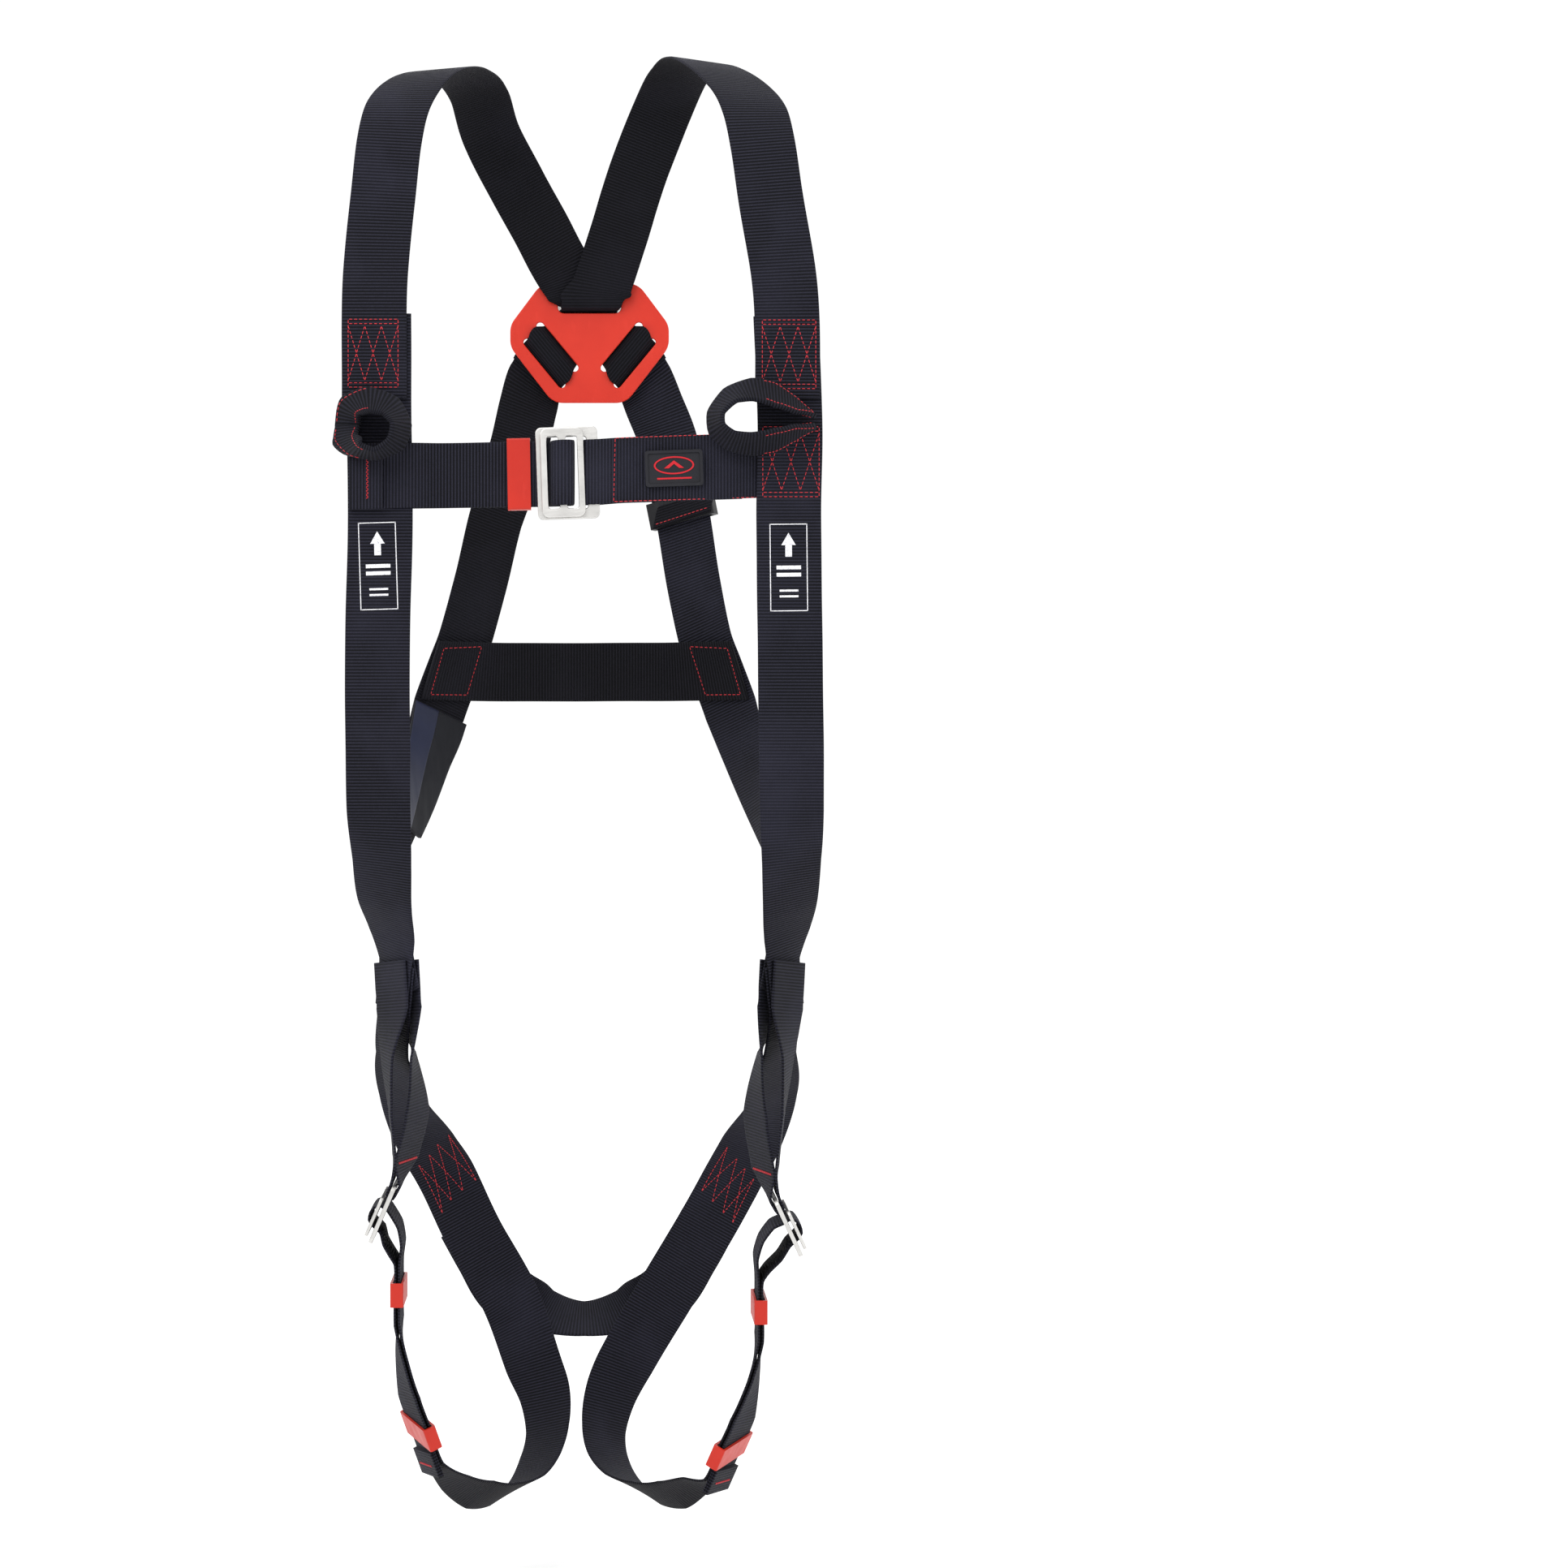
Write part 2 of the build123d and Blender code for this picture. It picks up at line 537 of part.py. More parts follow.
# ---- two-part buckles: a frame sewn into a loop, and a small plate that the webbing wraps ----
def make_buckle(plane, frame_name, plate_name):
    window_length = FRAME_LENGTH - FRAME_BAR_TIGHT - FRAME_BAR_LOOP
    window_middle = (FRAME_BAR_TIGHT - FRAME_BAR_LOOP) / 2
    with BuildPart() as frame:
        with BuildSketch(plane.offset(-FRAME_THICK / 2)):
            RectangleRounded(FRAME_LENGTH, FRAME_WIDTH, 4)
            with Locations((window_middle, 0)):
                RectangleRounded(window_length, BUCKLE_WINDOW, 2, mode=Mode.SUBTRACT)
        extrude(amount=FRAME_THICK)
    save(frame, frame_name)

    with BuildPart() as plate:
        with BuildSketch(plane.offset(PLATE_RISE - BUCKLE_PLATE_THICK / 2)):
            with Locations((PLATE_SHIFT, 0)):
                RectangleRounded(PLATE_LENGTH, PLATE_WIDTH, 5)
                RectangleRounded(PLATE_LENGTH - 9, BUCKLE_WINDOW, 2, mode=Mode.SUBTRACT)
                Rectangle(CROSSBAR, BUCKLE_WINDOW + 2)
        extrude(amount=BUCKLE_PLATE_THICK)
    save(plate, plate_name)


make_buckle(chest_buckle, "chest_buckle_frame", "chest_buckle_plate")
make_buckle(leg_buckle_left, "leg_buckle_frame_left", "leg_buckle_plate_left")
make_buckle(leg_buckle_right, "leg_buckle_frame_right", "leg_buckle_plate_right")


# ---- keepers: moulded sleeves that hold a tail against its strap ----
def make_keeper(plane, length, name):
    """Local x runs through the two layers, local y across the webbing, local z along it."""
    inner_deep = LAYER + WEB_THICK + 2 * KEEPER_GAP
    inner_wide = WEB_WIDTH + 2 * KEEPER_GAP
    with BuildPart() as keeper:
        with BuildSketch(plane.offset(-length / 2)):
            RectangleRounded(inner_deep + 2 * KEEPER_WALL, inner_wide + 2 * KEEPER_WALL, 1.6)
            Rectangle(inner_deep, inner_wide, mode=Mode.SUBTRACT)
        extrude(amount=length)
    save(keeper, name)


def keeper_plane(station, toward, rise):
    """A keeper's plane at a station, centred between the strap and its tail."""
    centre = Vector(*station[:3])
    run = (Vector(*toward[:3]) - centre).normalized()
    face = run.cross(Vector(*station[3:6])).normalized()
    return Plane(origin=centre + face * rise, x_dir=face, z_dir=run)


chest_keeper_plane = Plane(
    origin=(-49, (CHEST_REAR_Y + CHEST_TAIL_Y) / 2, -152), x_dir=(0, 1, 0), z_dir=(1, 0, 0.018)
)
make_keeper(chest_keeper_plane, 16.0, "chest_keeper")
KEEPER_LENGTHS = {"upper": 17.0, "lower": 17.0}
for name, (side, _rear, _entry, _buckle, _leave, front) in legs.items():
    upper = keeper_plane(front[5], front[6], side * LAYER / 2)
    lower = keeper_plane(front[1], front[2], side * LAYER / 2)
    make_keeper(upper, KEEPER_LENGTHS["upper"], f"leg_keeper_upper_{name}")
    make_keeper(lower, KEEPER_LENGTHS["lower"], f"leg_keeper_lower_{name}")

# ---- small pieces sewn on: the rubber patch, the label pouch, the back slider ----
PATCH_FACE_Y = -249.4 - WEB_THICK / 2 - 0.3
patch_plane = Plane(origin=(58.5, PATCH_FACE_Y, -148.4), x_dir=(1, 0, 0.035), z_dir=(0, -1, 0))
with BuildPart() as rubber_patch:
    with BuildSketch(patch_plane):
        RectangleRounded(40, 25, 2)
    extrude(amount=1.8)
    with BuildSketch(patch_plane.offset(1.8)):
        RectangleRounded(40, 25, 2)
        RectangleRounded(36, 21, 1.5, mode=Mode.SUBTRACT)
    extrude(amount=1.0)
save(rubber_patch, "rubber_patch")

pouch_run = [
    (-115.6, -54, -313.5, 0.8, 0.48, -0.38),
    (-119, -58.5, -327, 0.74, 0.57, -0.35),
    (-125, -68, -347, 0.62, 0.73, -0.3),
    (-131.5, -83, -374, 0.45, 0.84, -0.3),
    (-138, -101, -400, 0.25, 0.92, -0.3),
]
strap("label_pouch", layered(pouch_run, 4.2), 48.0, 3.0)

SLIDER_LENGTH = 20.0
slider_plane = Plane(origin=(71, -31, -156), x_dir=(0.88, -0.42, 0.25), z_dir=(0.19, -0.08, -0.98))
with BuildPart() as back_slider:
    with BuildSketch(slider_plane.offset(-SLIDER_LENGTH / 2)):
        RectangleRounded(54, 10.6, 1.5)
        Rectangle(48, 7.6, mode=Mode.SUBTRACT)
    extrude(amount=SLIDER_LENGTH)
save(back_slider, "back_slider")
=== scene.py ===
import math
import random

import bmesh
import bpy
from mathutils import Matrix, Vector


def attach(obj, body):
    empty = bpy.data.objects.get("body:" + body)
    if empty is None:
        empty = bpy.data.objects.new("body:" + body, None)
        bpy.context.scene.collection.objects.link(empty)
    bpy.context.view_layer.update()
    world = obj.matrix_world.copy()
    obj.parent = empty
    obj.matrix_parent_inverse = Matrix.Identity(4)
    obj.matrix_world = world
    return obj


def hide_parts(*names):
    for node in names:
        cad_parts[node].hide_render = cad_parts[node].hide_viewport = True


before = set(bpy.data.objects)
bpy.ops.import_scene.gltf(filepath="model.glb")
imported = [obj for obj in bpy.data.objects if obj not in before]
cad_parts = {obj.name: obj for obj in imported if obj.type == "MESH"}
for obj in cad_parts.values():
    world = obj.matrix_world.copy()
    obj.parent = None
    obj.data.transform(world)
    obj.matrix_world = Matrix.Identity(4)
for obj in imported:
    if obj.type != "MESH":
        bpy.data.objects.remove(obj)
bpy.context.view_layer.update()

random.seed(11)

# Every length below is in millimetres, in the CAD frame, and MM turns it into Blender's metres.
MM = 0.001
WEB_WIDTH = 45.0
WEB_THICK = 2.0
LAYER = 2.8
RIB = 2.25                  # pitch of the ribs across the webbing
FACE_STEP = 3.0             # length of one face along a strap
SHORT_SPAN = 16.0           # below this distance, stations join with a tighter curve
SHORT_BEND = 0.6
CUP, CUP_LEVEL = 0.12, 0.4  # depth of the webbing's slight cup, and the offset that centres it
YARN = 0.00085              # pitch of the warp yarns, in metres
UP = (0, 0, 1)


# ---- camera, light and floor ----
camera_data = bpy.data.cameras.new("camera")
camera_data.lens = 66.25
camera_data.sensor_width = 36.0
camera_data.shift_x = 0.124
camera = bpy.data.objects.new("camera", camera_data)
camera.location = (0, -2.25, -0.367)
camera.rotation_euler = (math.radians(90), 0, 0)
bpy.context.collection.objects.link(camera)
bpy.context.scene.camera = camera


def area_light(name, place, target, size, power):
    data = bpy.data.lights.new(name, "AREA")
    data.size = size
    data.energy = power
    light = bpy.data.objects.new(name, data)
    light.location = place
    light.rotation_euler = (Vector(target) - Vector(place)).to_track_quat("-Z", "Y").to_euler()
    bpy.context.collection.objects.link(light)


area_light("key_light", (-0.7, -1.4, 1.0), (0, -0.15, 0), 1.1, 15)
area_light("fill_light", (1.9, -1.9, 0.1), (0, -0.1, -0.4), 1.8, 7)
area_light("top_light", (0, -0.2, 1.9), (0, -0.1, 0), 1.6, 10)
area_light("back_light", (0.4, 2.3, 0.6), (0, -0.1, -0.4), 1.8, 9)

world = bpy.data.worlds.new("studio")
world.use_nodes = True
world.node_tree.nodes["Background"].inputs["Color"].default_value = (1, 1, 1, 1)
world.node_tree.nodes["Background"].inputs["Strength"].default_value = 1.05
bpy.context.scene.world = world
bpy.context.scene.view_settings.view_transform = "Standard"


# ---- materials ----
class Shader:
    """A principled material with short helpers for its procedural nodes."""

    def __init__(self, name, color, roughness, metallic=0.0):
        self.material = bpy.data.materials.new(name)
        self.material.use_nodes = True
        self.nodes = self.material.node_tree.nodes
        self.links = self.material.node_tree.links
        self.surface = self.nodes["Principled BSDF"]
        self.surface.inputs["Base Color"].default_value = (*color, 1)
        self.surface.inputs["Roughness"].default_value = roughness
        self.surface.inputs["Metallic"].default_value = metallic

    def feed(self, value, socket):
        if hasattr(value, "is_output"):
            self.links.new(value, socket)
        else:
            socket.default_value = value

    def math(self, operation, first, second=0.0):
        node = self.nodes.new("ShaderNodeMath")
        node.operation = operation
        self.feed(first, node.inputs[0])
        self.feed(second, node.inputs[1])
        return node.outputs[0]

    def uv(self):
        """Distance across and along the strap, in metres."""
        node = self.nodes.new("ShaderNodeUVMap")
        node.uv_map = "strap"
        split = self.nodes.new("ShaderNodeSeparateXYZ")
        self.links.new(node.outputs[0], split.inputs[0])
        return split.outputs[0], split.outputs[1]

    def place(self):
        return self.nodes.new("ShaderNodeTexCoord").outputs["Object"]

    def noise(self, scale, detail=3.0, stretch=None):
        node = self.nodes.new("ShaderNodeTexNoise")
        node.inputs["Scale"].default_value = scale
        node.inputs["Detail"].default_value = detail
        source = self.place()
        if stretch:
            mapping = self.nodes.new("ShaderNodeMapping")
            mapping.inputs["Scale"].default_value = stretch
            self.links.new(source, mapping.inputs[0])
            source = mapping.outputs[0]
        self.links.new(source, node.inputs["Vector"])
        return node.outputs[0]

    def blend(self, factor, first, second):
        node = self.nodes.new("ShaderNodeMix")
        node.data_type = "RGBA"
        self.feed(factor, node.inputs["Factor"])
        self.feed(first if hasattr(first, "is_output") else (*first, 1), node.inputs["A"])
        self.feed(second if hasattr(second, "is_output") else (*second, 1), node.inputs["B"])
        return node.outputs["Result"]

    def span(self, value, low, high, start=0.0, end=1.0):
        node = self.nodes.new("ShaderNodeMapRange")
        self.links.new(value, node.inputs["Value"])
        node.inputs["From Min"].default_value = start
        node.inputs["From Max"].default_value = end
        node.inputs["To Min"].default_value = low
        node.inputs["To Max"].default_value = high
        return node.outputs[0]

    def color(self, socket):
        self.links.new(socket, self.surface.inputs["Base Color"])

    def roughness(self, socket):
        self.links.new(socket, self.surface.inputs["Roughness"])

    def bump(self, height, strength, distance):
        node = self.nodes.new("ShaderNodeBump")
        node.inputs["Strength"].default_value = strength
        node.inputs["Distance"].default_value = distance
        self.links.new(height, node.inputs["Height"])
        self.links.new(node.outputs[0], self.surface.inputs["Normal"])


# Of the two colours, the first is painted shade in the rib grooves and the second is painted highlight on the
# rib tops.
def webbing_material(name, groove_shade, light, sheen):
    """Ribbed narrow fabric: ribs across the strap and fine warp yarns along it."""
    shader = Shader(name, light, 0.7)
    across, along = shader.uv()
    ribs = shader.math("SINE", shader.math("MULTIPLY", along, 2 * math.pi / (RIB * MM)))
    ribs = shader.span(ribs, 0.0, 1.0, -1.0, 1.0)
    warp = shader.math("SINE", shader.math("MULTIPLY", across, 2 * math.pi / YARN))
    warp = shader.span(warp, 0.0, 1.0, -1.0, 1.0)
    slub = shader.noise(900.0, 2.0)
    wear = shader.noise(14.0, 4.0)
    # Rib tops take painted highlight and the grooves painted shade; warp yarns and slubs vary this tone.
    rib_shade = shader.math("POWER", ribs, 1.2)
    shade = shader.math("MULTIPLY", rib_shade, shader.span(warp, 0.8, 1.0))
    shade = shader.math("MULTIPLY", shade, shader.span(slub, 0.75, 1.2, 0.3, 0.7))
    tone = shader.blend(shade, groove_shade, light)
    worn = shader.blend(shader.span(wear, 0.0, 0.35, 0.45, 0.75), tone, [c * 1.5 for c in light])
    shader.color(worn)
    shader.roughness(shader.span(slub, 0.62, 0.82))
    height = shader.math("ADD", shader.math("MULTIPLY", ribs, 0.8), shader.math("MULTIPLY", warp, 0.2))
    shader.bump(height, 1.0, 0.0006)
    shader.surface.inputs["Sheen Weight"].default_value = sheen
    shader.surface.inputs["Sheen Roughness"].default_value = 0.4
    shader.surface.inputs["Specular IOR Level"].default_value = 0.12
    return shader.material


# Each call gives a groove colour, painted shade, then a rib-top colour, painted highlight.
WEBBING = webbing_material("webbing_navy_black", (0.0015, 0.0015, 0.0026), (0.022, 0.022, 0.036), 0.02)
# A darker copy of the webbing: partly the cloth's duller reverse, partly painted shade for the less lit inner
# faces.
REVERSE_AND_SHADE = webbing_material("webbing_reverse_and_shade", (0.0012, 0.0012, 0.002), (0.0105, 0.0102, 0.0155), 0.0)
TAPE = webbing_material("webbing_loop", (0.0013, 0.0013, 0.0022), (0.016, 0.016, 0.026), 0.02)
# A darker copy of the webbing for the lumbar band at the back of the harness: painted shade.
SHADED_BAND = webbing_material("webbing_band_shaded", (0.0012, 0.0012, 0.002), (0.011, 0.0106, 0.0155), 0.0)


def thread_material():
    shader = Shader("thread_red", (0.5, 0.015, 0.025), 0.6)
    twist = shader.noise(2500.0, 1.0)
    fibres = shader.span(twist, 0, 1, 0.35, 0.65)
    shader.color(shader.blend(fibres, (0.34, 0.007, 0.014), (0.62, 0.025, 0.04)))
    shader.bump(twist, 0.4, 0.0002)
    return shader.material


def moulded_material(name, color, deep, roughness, coat=0.0):
    """Moulded plastic with a faint flow pattern, fine grain and scuffs."""
    shader = Shader(name, color, roughness)
    flow = shader.noise(22.0, 4.0)
    grain = shader.noise(1400.0, 2.0)
    scuffs = shader.noise(160.0, 6.0, (1.0, 1.0, 0.25))
    tone = shader.blend(shader.span(flow, 0.0, 1.0, 0.3, 0.75), color, deep)
    pale = [min(1, c * 1.3 + 0.02) for c in color]
    shader.color(shader.blend(shader.span(scuffs, 0.0, 0.25, 0.62, 0.8), tone, pale))
    shader.roughness(shader.span(scuffs, roughness - 0.06, roughness + 0.12, 0.3, 0.8))
    shader.bump(shader.math("ADD", grain, shader.math("MULTIPLY", flow, 2.0)), 0.12, 0.0004)
    shader.surface.inputs["Coat Weight"].default_value = coat
    shader.surface.inputs["Specular IOR Level"].default_value = 0.25
    return shader.material


def steel_material(name, color, roughness, stretch):
    """Plated steel: brushed streaks, faint mottling and small scratches."""
    shader = Shader(name, color, roughness, 1.0)
    streaks = shader.noise(220.0, 4.0, stretch)
    mottle = shader.noise(60.0, 4.0)
    dull = [c * 0.78 for c in color]
    shader.color(shader.blend(shader.span(mottle, 0.0, 1.0, 0.35, 0.8), color, dull))
    shader.roughness(shader.span(streaks, roughness - 0.08, roughness + 0.14, 0.3, 0.7))
    shader.bump(shader.math("ADD", streaks, shader.math("MULTIPLY", mottle, 0.6)), 0.18, 0.0003)
    return shader.material


def printed_material():
    shader = Shader("print_white", (0.72, 0.72, 0.74), 0.6)
    gaps = shader.noise(1200.0, 2.0)
    shader.color(shader.blend(shader.span(gaps, 0.0, 1.0, 0.5, 0.75), (0.78, 0.78, 0.8), (0.35, 0.35, 0.4)))
    return shader.material


THREAD = thread_material()
ORANGE = moulded_material("orange_moulding", (0.66, 0.034, 0.016), (0.56, 0.024, 0.011), 0.36, 0.05)
KEEPER_ORANGE = moulded_material("orange_keeper", (0.5, 0.022, 0.01), (0.42, 0.016, 0.008), 0.4, 0.05)
RUBBER = moulded_material("patch_rubber", (0.012, 0.012, 0.017), (0.007, 0.007, 0.01), 0.55)
EMBLEM = moulded_material("patch_red", (0.55, 0.012, 0.022), (0.4, 0.01, 0.016), 0.5)
BLACK = moulded_material("black_moulding", (0.012, 0.012, 0.014), (0.006, 0.006, 0.008), 0.42)
POUCH_DARK = moulded_material("pouch_cloth", (0.010, 0.0105, 0.015), (0.006, 0.0065, 0.009), 0.75)
POUCH_NAVY = moulded_material("pouch_film", (0.014, 0.018, 0.045), (0.008, 0.010, 0.025), 0.4)
STEEL = steel_material("buckle_steel", (0.66, 0.65, 0.63), 0.36, (1.0, 1.0, 6.0))
RING_STEEL = steel_material("ring_steel", (0.6, 0.59, 0.57), 0.3, (6.0, 1.0, 1.0))
PRINT = printed_material()


# ---- straps ----
def strap_frames(stations):
    """Centre, run, across and share of the width, all along a strap; the same line as the CAD's."""
    centres = [Vector(s[:3]) for s in stations]
    sides = [Vector(s[3:6]).normalized() for s in stations]
    shares = [s[6] if len(s) > 6 else 1.0 for s in stations]
    last = len(stations) - 1
    headings = []
    for i in range(last + 1):
        headings.append((centres[min(i + 1, last)] - centres[max(i - 1, 0)]).normalized())
    places = []
    for i in range(last):
        span = (centres[i + 1] - centres[i]).length
        bend = span if span > SHORT_SPAN else span * SHORT_BEND
        steps = max(1, math.ceil(span / FACE_STEP))
        for k in range(steps):
            u = k / steps
            start = 2 * u**3 - 3 * u**2 + 1
            centre = (
                centres[i] * start
                + headings[i] * (bend * (u**3 - 2 * u**2 + u))
                + centres[i + 1] * (1 - start)
                + headings[i + 1] * (bend * (u**3 - u**2))
            )
            side = (sides[i] * (1 - u) + sides[i + 1] * u).normalized()
            places.append((centre, side, shares[i] * (1 - u) + shares[i + 1] * u))
    places.append((centres[last], sides[last], shares[last]))
    frames = []
    for i, (centre, side, share) in enumerate(places):
        run = (places[min(i + 1, len(places) - 1)][0] - places[max(i - 1, 0)][0]).normalized()
        frames.append((centre, run, side, share))
    return frames


COLUMNS = (-1, -0.985, -0.94, -0.85, -0.6, -0.3, 0, 0.3, 0.6, 0.85, 0.94, 0.985, 1)
EDGE_THICKNESS = {1: 0.3, 0.985: 0.72, 0.94: 0.95}
EDGE_FROM = 0.9             # share of the half width beyond which the edge ripples
RIPPLES = ((0.12, 37), (0.06, 11))
STRAPS = {}


def link(name, mesh, material, body):
    piece = bpy.data.objects.new(name, mesh)
    bpy.context.collection.objects.link(piece)
    mesh.materials.append(material)
    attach(piece, body)
    return piece


def ribbon(name, stations, material, width, body="harness", thickness=WEB_THICK, cup=CUP, outer=0):
    """A closed strip of webbing with rounded selvedges, a slight cup and a slightly uneven edge.

    With outer at 1 or -1, the face on the other side takes a darker copy of the cloth: partly its duller
    reverse, partly painted shade for the less lit inner faces.
    """
    frames = strap_frames(stations)
    STRAPS[name] = frames
    mesh = bmesh.new()
    layer = mesh.loops.layers.uv.new("strap")
    rings = []
    lengths = []
    along = 0.0
    before = None
    phase = random.uniform(0, 6.28)
    for centre, run, side, share in frames:
        along += (centre - before).length if before else 0.0
        before = centre
        normal = run.cross(side)
        half = width * share / normal.length / 2
        normal.normalize()
        ripple = 0.0
        for order, (depth, wave) in enumerate(RIPPLES, 1):
            ripple += depth * math.sin(along / wave + phase * order)
        ring = []
        for face in (1, -1):
            for u in COLUMNS[:: 1 if face > 0 else -1]:
                reach = half * u + (ripple if abs(u) > EDGE_FROM else 0)
                lift = cup * (u * u - CUP_LEVEL) + face * thickness / 2 * EDGE_THICKNESS.get(abs(u), 1.0)
                ring.append(mesh.verts.new((centre + side * reach + normal * lift) * MM))
        rings.append(ring)
        lengths.append(along)
    count = len(COLUMNS)
    size = count * 2
    for i in range(len(rings) - 1):
        for j in range(size):
            k = (j + 1) % size
            face = mesh.faces.new((rings[i][j], rings[i][k], rings[i + 1][k], rings[i + 1][j]))
            face.smooth = True
            shown = 1 if j < count else -1
            face.material_index = 1 if shown == -outer else 0
            spots = ((i, j), (i, k), (i + 1, k), (i + 1, j))
            for loop, (row, column) in zip(face.loops, spots):
                u = COLUMNS[column] if column < count else COLUMNS[size - 1 - column]
                loop[layer].uv = (u * width / 2 * MM, lengths[row] * MM)
    for ring, row in ((rings[0], 0), (rings[-1], len(rings) - 1)):
        face = mesh.faces.new(ring)
        for loop in face.loops:
            loop[layer].uv = (0, lengths[row] * MM)
    bmesh.ops.recalc_face_normals(mesh, faces=mesh.faces)
    data = bpy.data.meshes.new(name)
    mesh.to_mesh(data)
    mesh.free()
    piece = link(name, data, material, body)
    if outer:
        data.materials.append(REVERSE_AND_SHADE)
    return piece, along


def layered(stations, rise):
    """The same run of strap, lifted off its own face by a distance."""
    lifted = []
    for i, s in enumerate(stations):
        run = Vector(stations[min(i + 1, len(stations) - 1)][:3]) - Vector(stations[max(i - 1, 0)][:3])
        centre = Vector(s[:3]) + run.cross(Vector(s[3:6])).normalized() * rise
        lifted.append((*centre, *s[3:]))
    return lifted


HIP_X, HIP_Y, HIP_Z = 139.0, -165.0, -507.0
HIP_TURN = 33.4


def hip_station(side, along, lean, layer, sign):
    """A station at the sewn hip joint; layer counts outwards from the leg strap."""
    turn = math.radians(HIP_TURN)
    back = Vector((side * math.sin(turn), math.cos(turn), 0))
    out = Vector((side * math.cos(turn), -math.sin(turn), 0))
    down = Vector((0, 0, -1))
    slope = math.radians(lean)
    run = back * math.sin(slope) + down * math.cos(slope)
    across = (back * math.cos(slope) - down * math.sin(slope)) * sign
    centre = Vector((side * HIP_X, HIP_Y, HIP_Z)) + run * along + out * (layer * LAYER)
    return (*centre, *across)


shoulder_left = [
    (-149, -252.8, -100, 1, 0, 0),
    (-149, -252.8, -49, 1, 0, 0),
    (-148, -252.8, -12, 1, 0, 0),
    (-143, -251, 41, 1, 0, -0.05),
    (-139, -247, 80, 1, 0, -0.05),
    (-133, -236, 108, 1, -0.05, 0),
    (-121, -214, 130, 0.97, -0.2, 0),
    (-106, -180, 145, 0.94, -0.33, 0),
    (-93, -135, 152, 0.92, -0.38, 0.05),
    (-83, -92, 148, 0.9, -0.38, 0.15),
    (-74, -57, 124, 0.88, -0.25, 0.35),
    (-55, -42, 90, 0.88, 0, 0.46),
    (-38, -38, 60, 0.88, 0, 0.47),
    (-23, -36, 32, 0.88, 0, 0.47),
    (-8, -35.4, 10, 0.97, 0, 0.2),
    (-2.5, -34.6, 3, 1, 0, 0, 0.97),
    (0, -30.5, 0.8, 1, 0, 0, 0.95),
    (2.5, -24.6, 0.8, 1, 0, 0, 0.8),
    (5.5, -18.4, -2.5, 1, 0, 0, 0.65),
    (8, -16.2, -8, 0.95, 0, 0.2, 0.6),
    (13, -17, -16, 0.8, 0, 0.5, 0.62),
    (22.4, -26.8, -29.1, 0.636, 0, 0.772, 0.86),
    (24.7, -30.5, -31, 0.636, 0, 0.772, 0.92),
    (27, -34, -32.9, 0.636, 0, 0.772, 0.98),
    (29.7, -34.5, -37.2, 0.636, 0, 0.772),
    (32.4, -34, -41.6, 0.636, 0, 0.772),
    (34.7, -30.5, -43.5, 0.636, 0, 0.772),
    (37, -27, -45.8, 0.65, 0, 0.76),
    (41.5, -26.2, -54, 0.75, 0, 0.66),
]
shoulder_right = [
    (137, -252.8, -100, 1, 0, 0),
    (137, -252.8, -49, 1, 0, 0),
    (134, -252.8, -12, 1, 0, 0.05),
    (125, -251, 41, 1, 0, 0.08),
    (120, -247, 78, 1, 0, 0.08),
    (115, -238, 103, 1, 0.05, 0),
    (107, -220, 122, 0.97, 0.2, 0),
    (92, -190, 143, 0.94, 0.33, 0),
    (78, -152, 158, 0.92, 0.38, -0.05),
    (67, -105, 160, 0.9, 0.38, -0.12),
    (55, -64, 143, 0.9, 0.25, -0.3),
    (40, -45, 108, 0.93, 0, -0.36),
    (31, -41, 82, 0.94, 0, -0.33),
    (22, -39.5, 52, 0.95, 0, -0.3),
    (9, -38.8, 14, 0.97, 0, -0.2),
    (3, -38.4, 5, 1, 0, 0),
    (1, -36.2, -1.2, 1, 0, 0),
    (0, -30.5, -2.4, 1, 0, 0, 0.95),
    (-2.5, -24.6, -2, 1, 0, 0, 0.8),
    (-6, -20, -4.2, 1, 0, 0, 0.65),
    (-8.5, -19.2, -9, 0.95, 0, -0.2, 0.6),
    (-13, -20, -17, 0.8, 0, -0.5, 0.62),
    (-22.4, -26.8, -29.1, 0.636, 0, -0.772, 0.86),
    (-24.7, -30.5, -31, 0.636, 0, -0.772, 0.92),
    (-27, -34, -32.9, 0.636, 0, -0.772, 0.98),
    (-29.7, -34.5, -37.2, 0.636, 0, -0.772),
    (-32.4, -34, -41.6, 0.636, 0, -0.772),
    (-34.7, -30.5, -43.5, 0.636, 0, -0.772),
    (-37, -27, -45.8, 0.65, 0, -0.76),
    (-41.5, -26.2, -54, 0.75, 0, -0.66),
]
back_left = [
    (-37.5, -23, -48, 0.72, 0, -0.69),
    (-42.5, -23.2, -58, 0.8, 0, -0.6),
    (-47, -24.6, -75, 0.93, 0, -0.36),
    (-55, -27, -110, 0.95, 0.1, -0.25),
    (-72, -31, -163, 0.85, 0.45, -0.28),
    (-84, -36, -214, 0.82, 0.46, -0.32),
    (-95.8, -42.3, -258, 0.805, 0.4625, -0.38),
    (-104, -47, -281, 0.805, 0.4625, -0.38),
    (-114.3, -52.9, -310, 0.805, 0.4625, -0.38),
    (-125, -68, -347, 0.62, 0.73, -0.3),
    (-138, -101, -400, 0.25, 0.92, -0.3),
    (-149, -139, -453, -0.2, 0.93, -0.32),
    hip_station(-1, -28, -20, -1, 1),
    hip_station(-1, -6, -20, -1, 1),
    hip_station(-1, 14, -20, -1, 1),
]
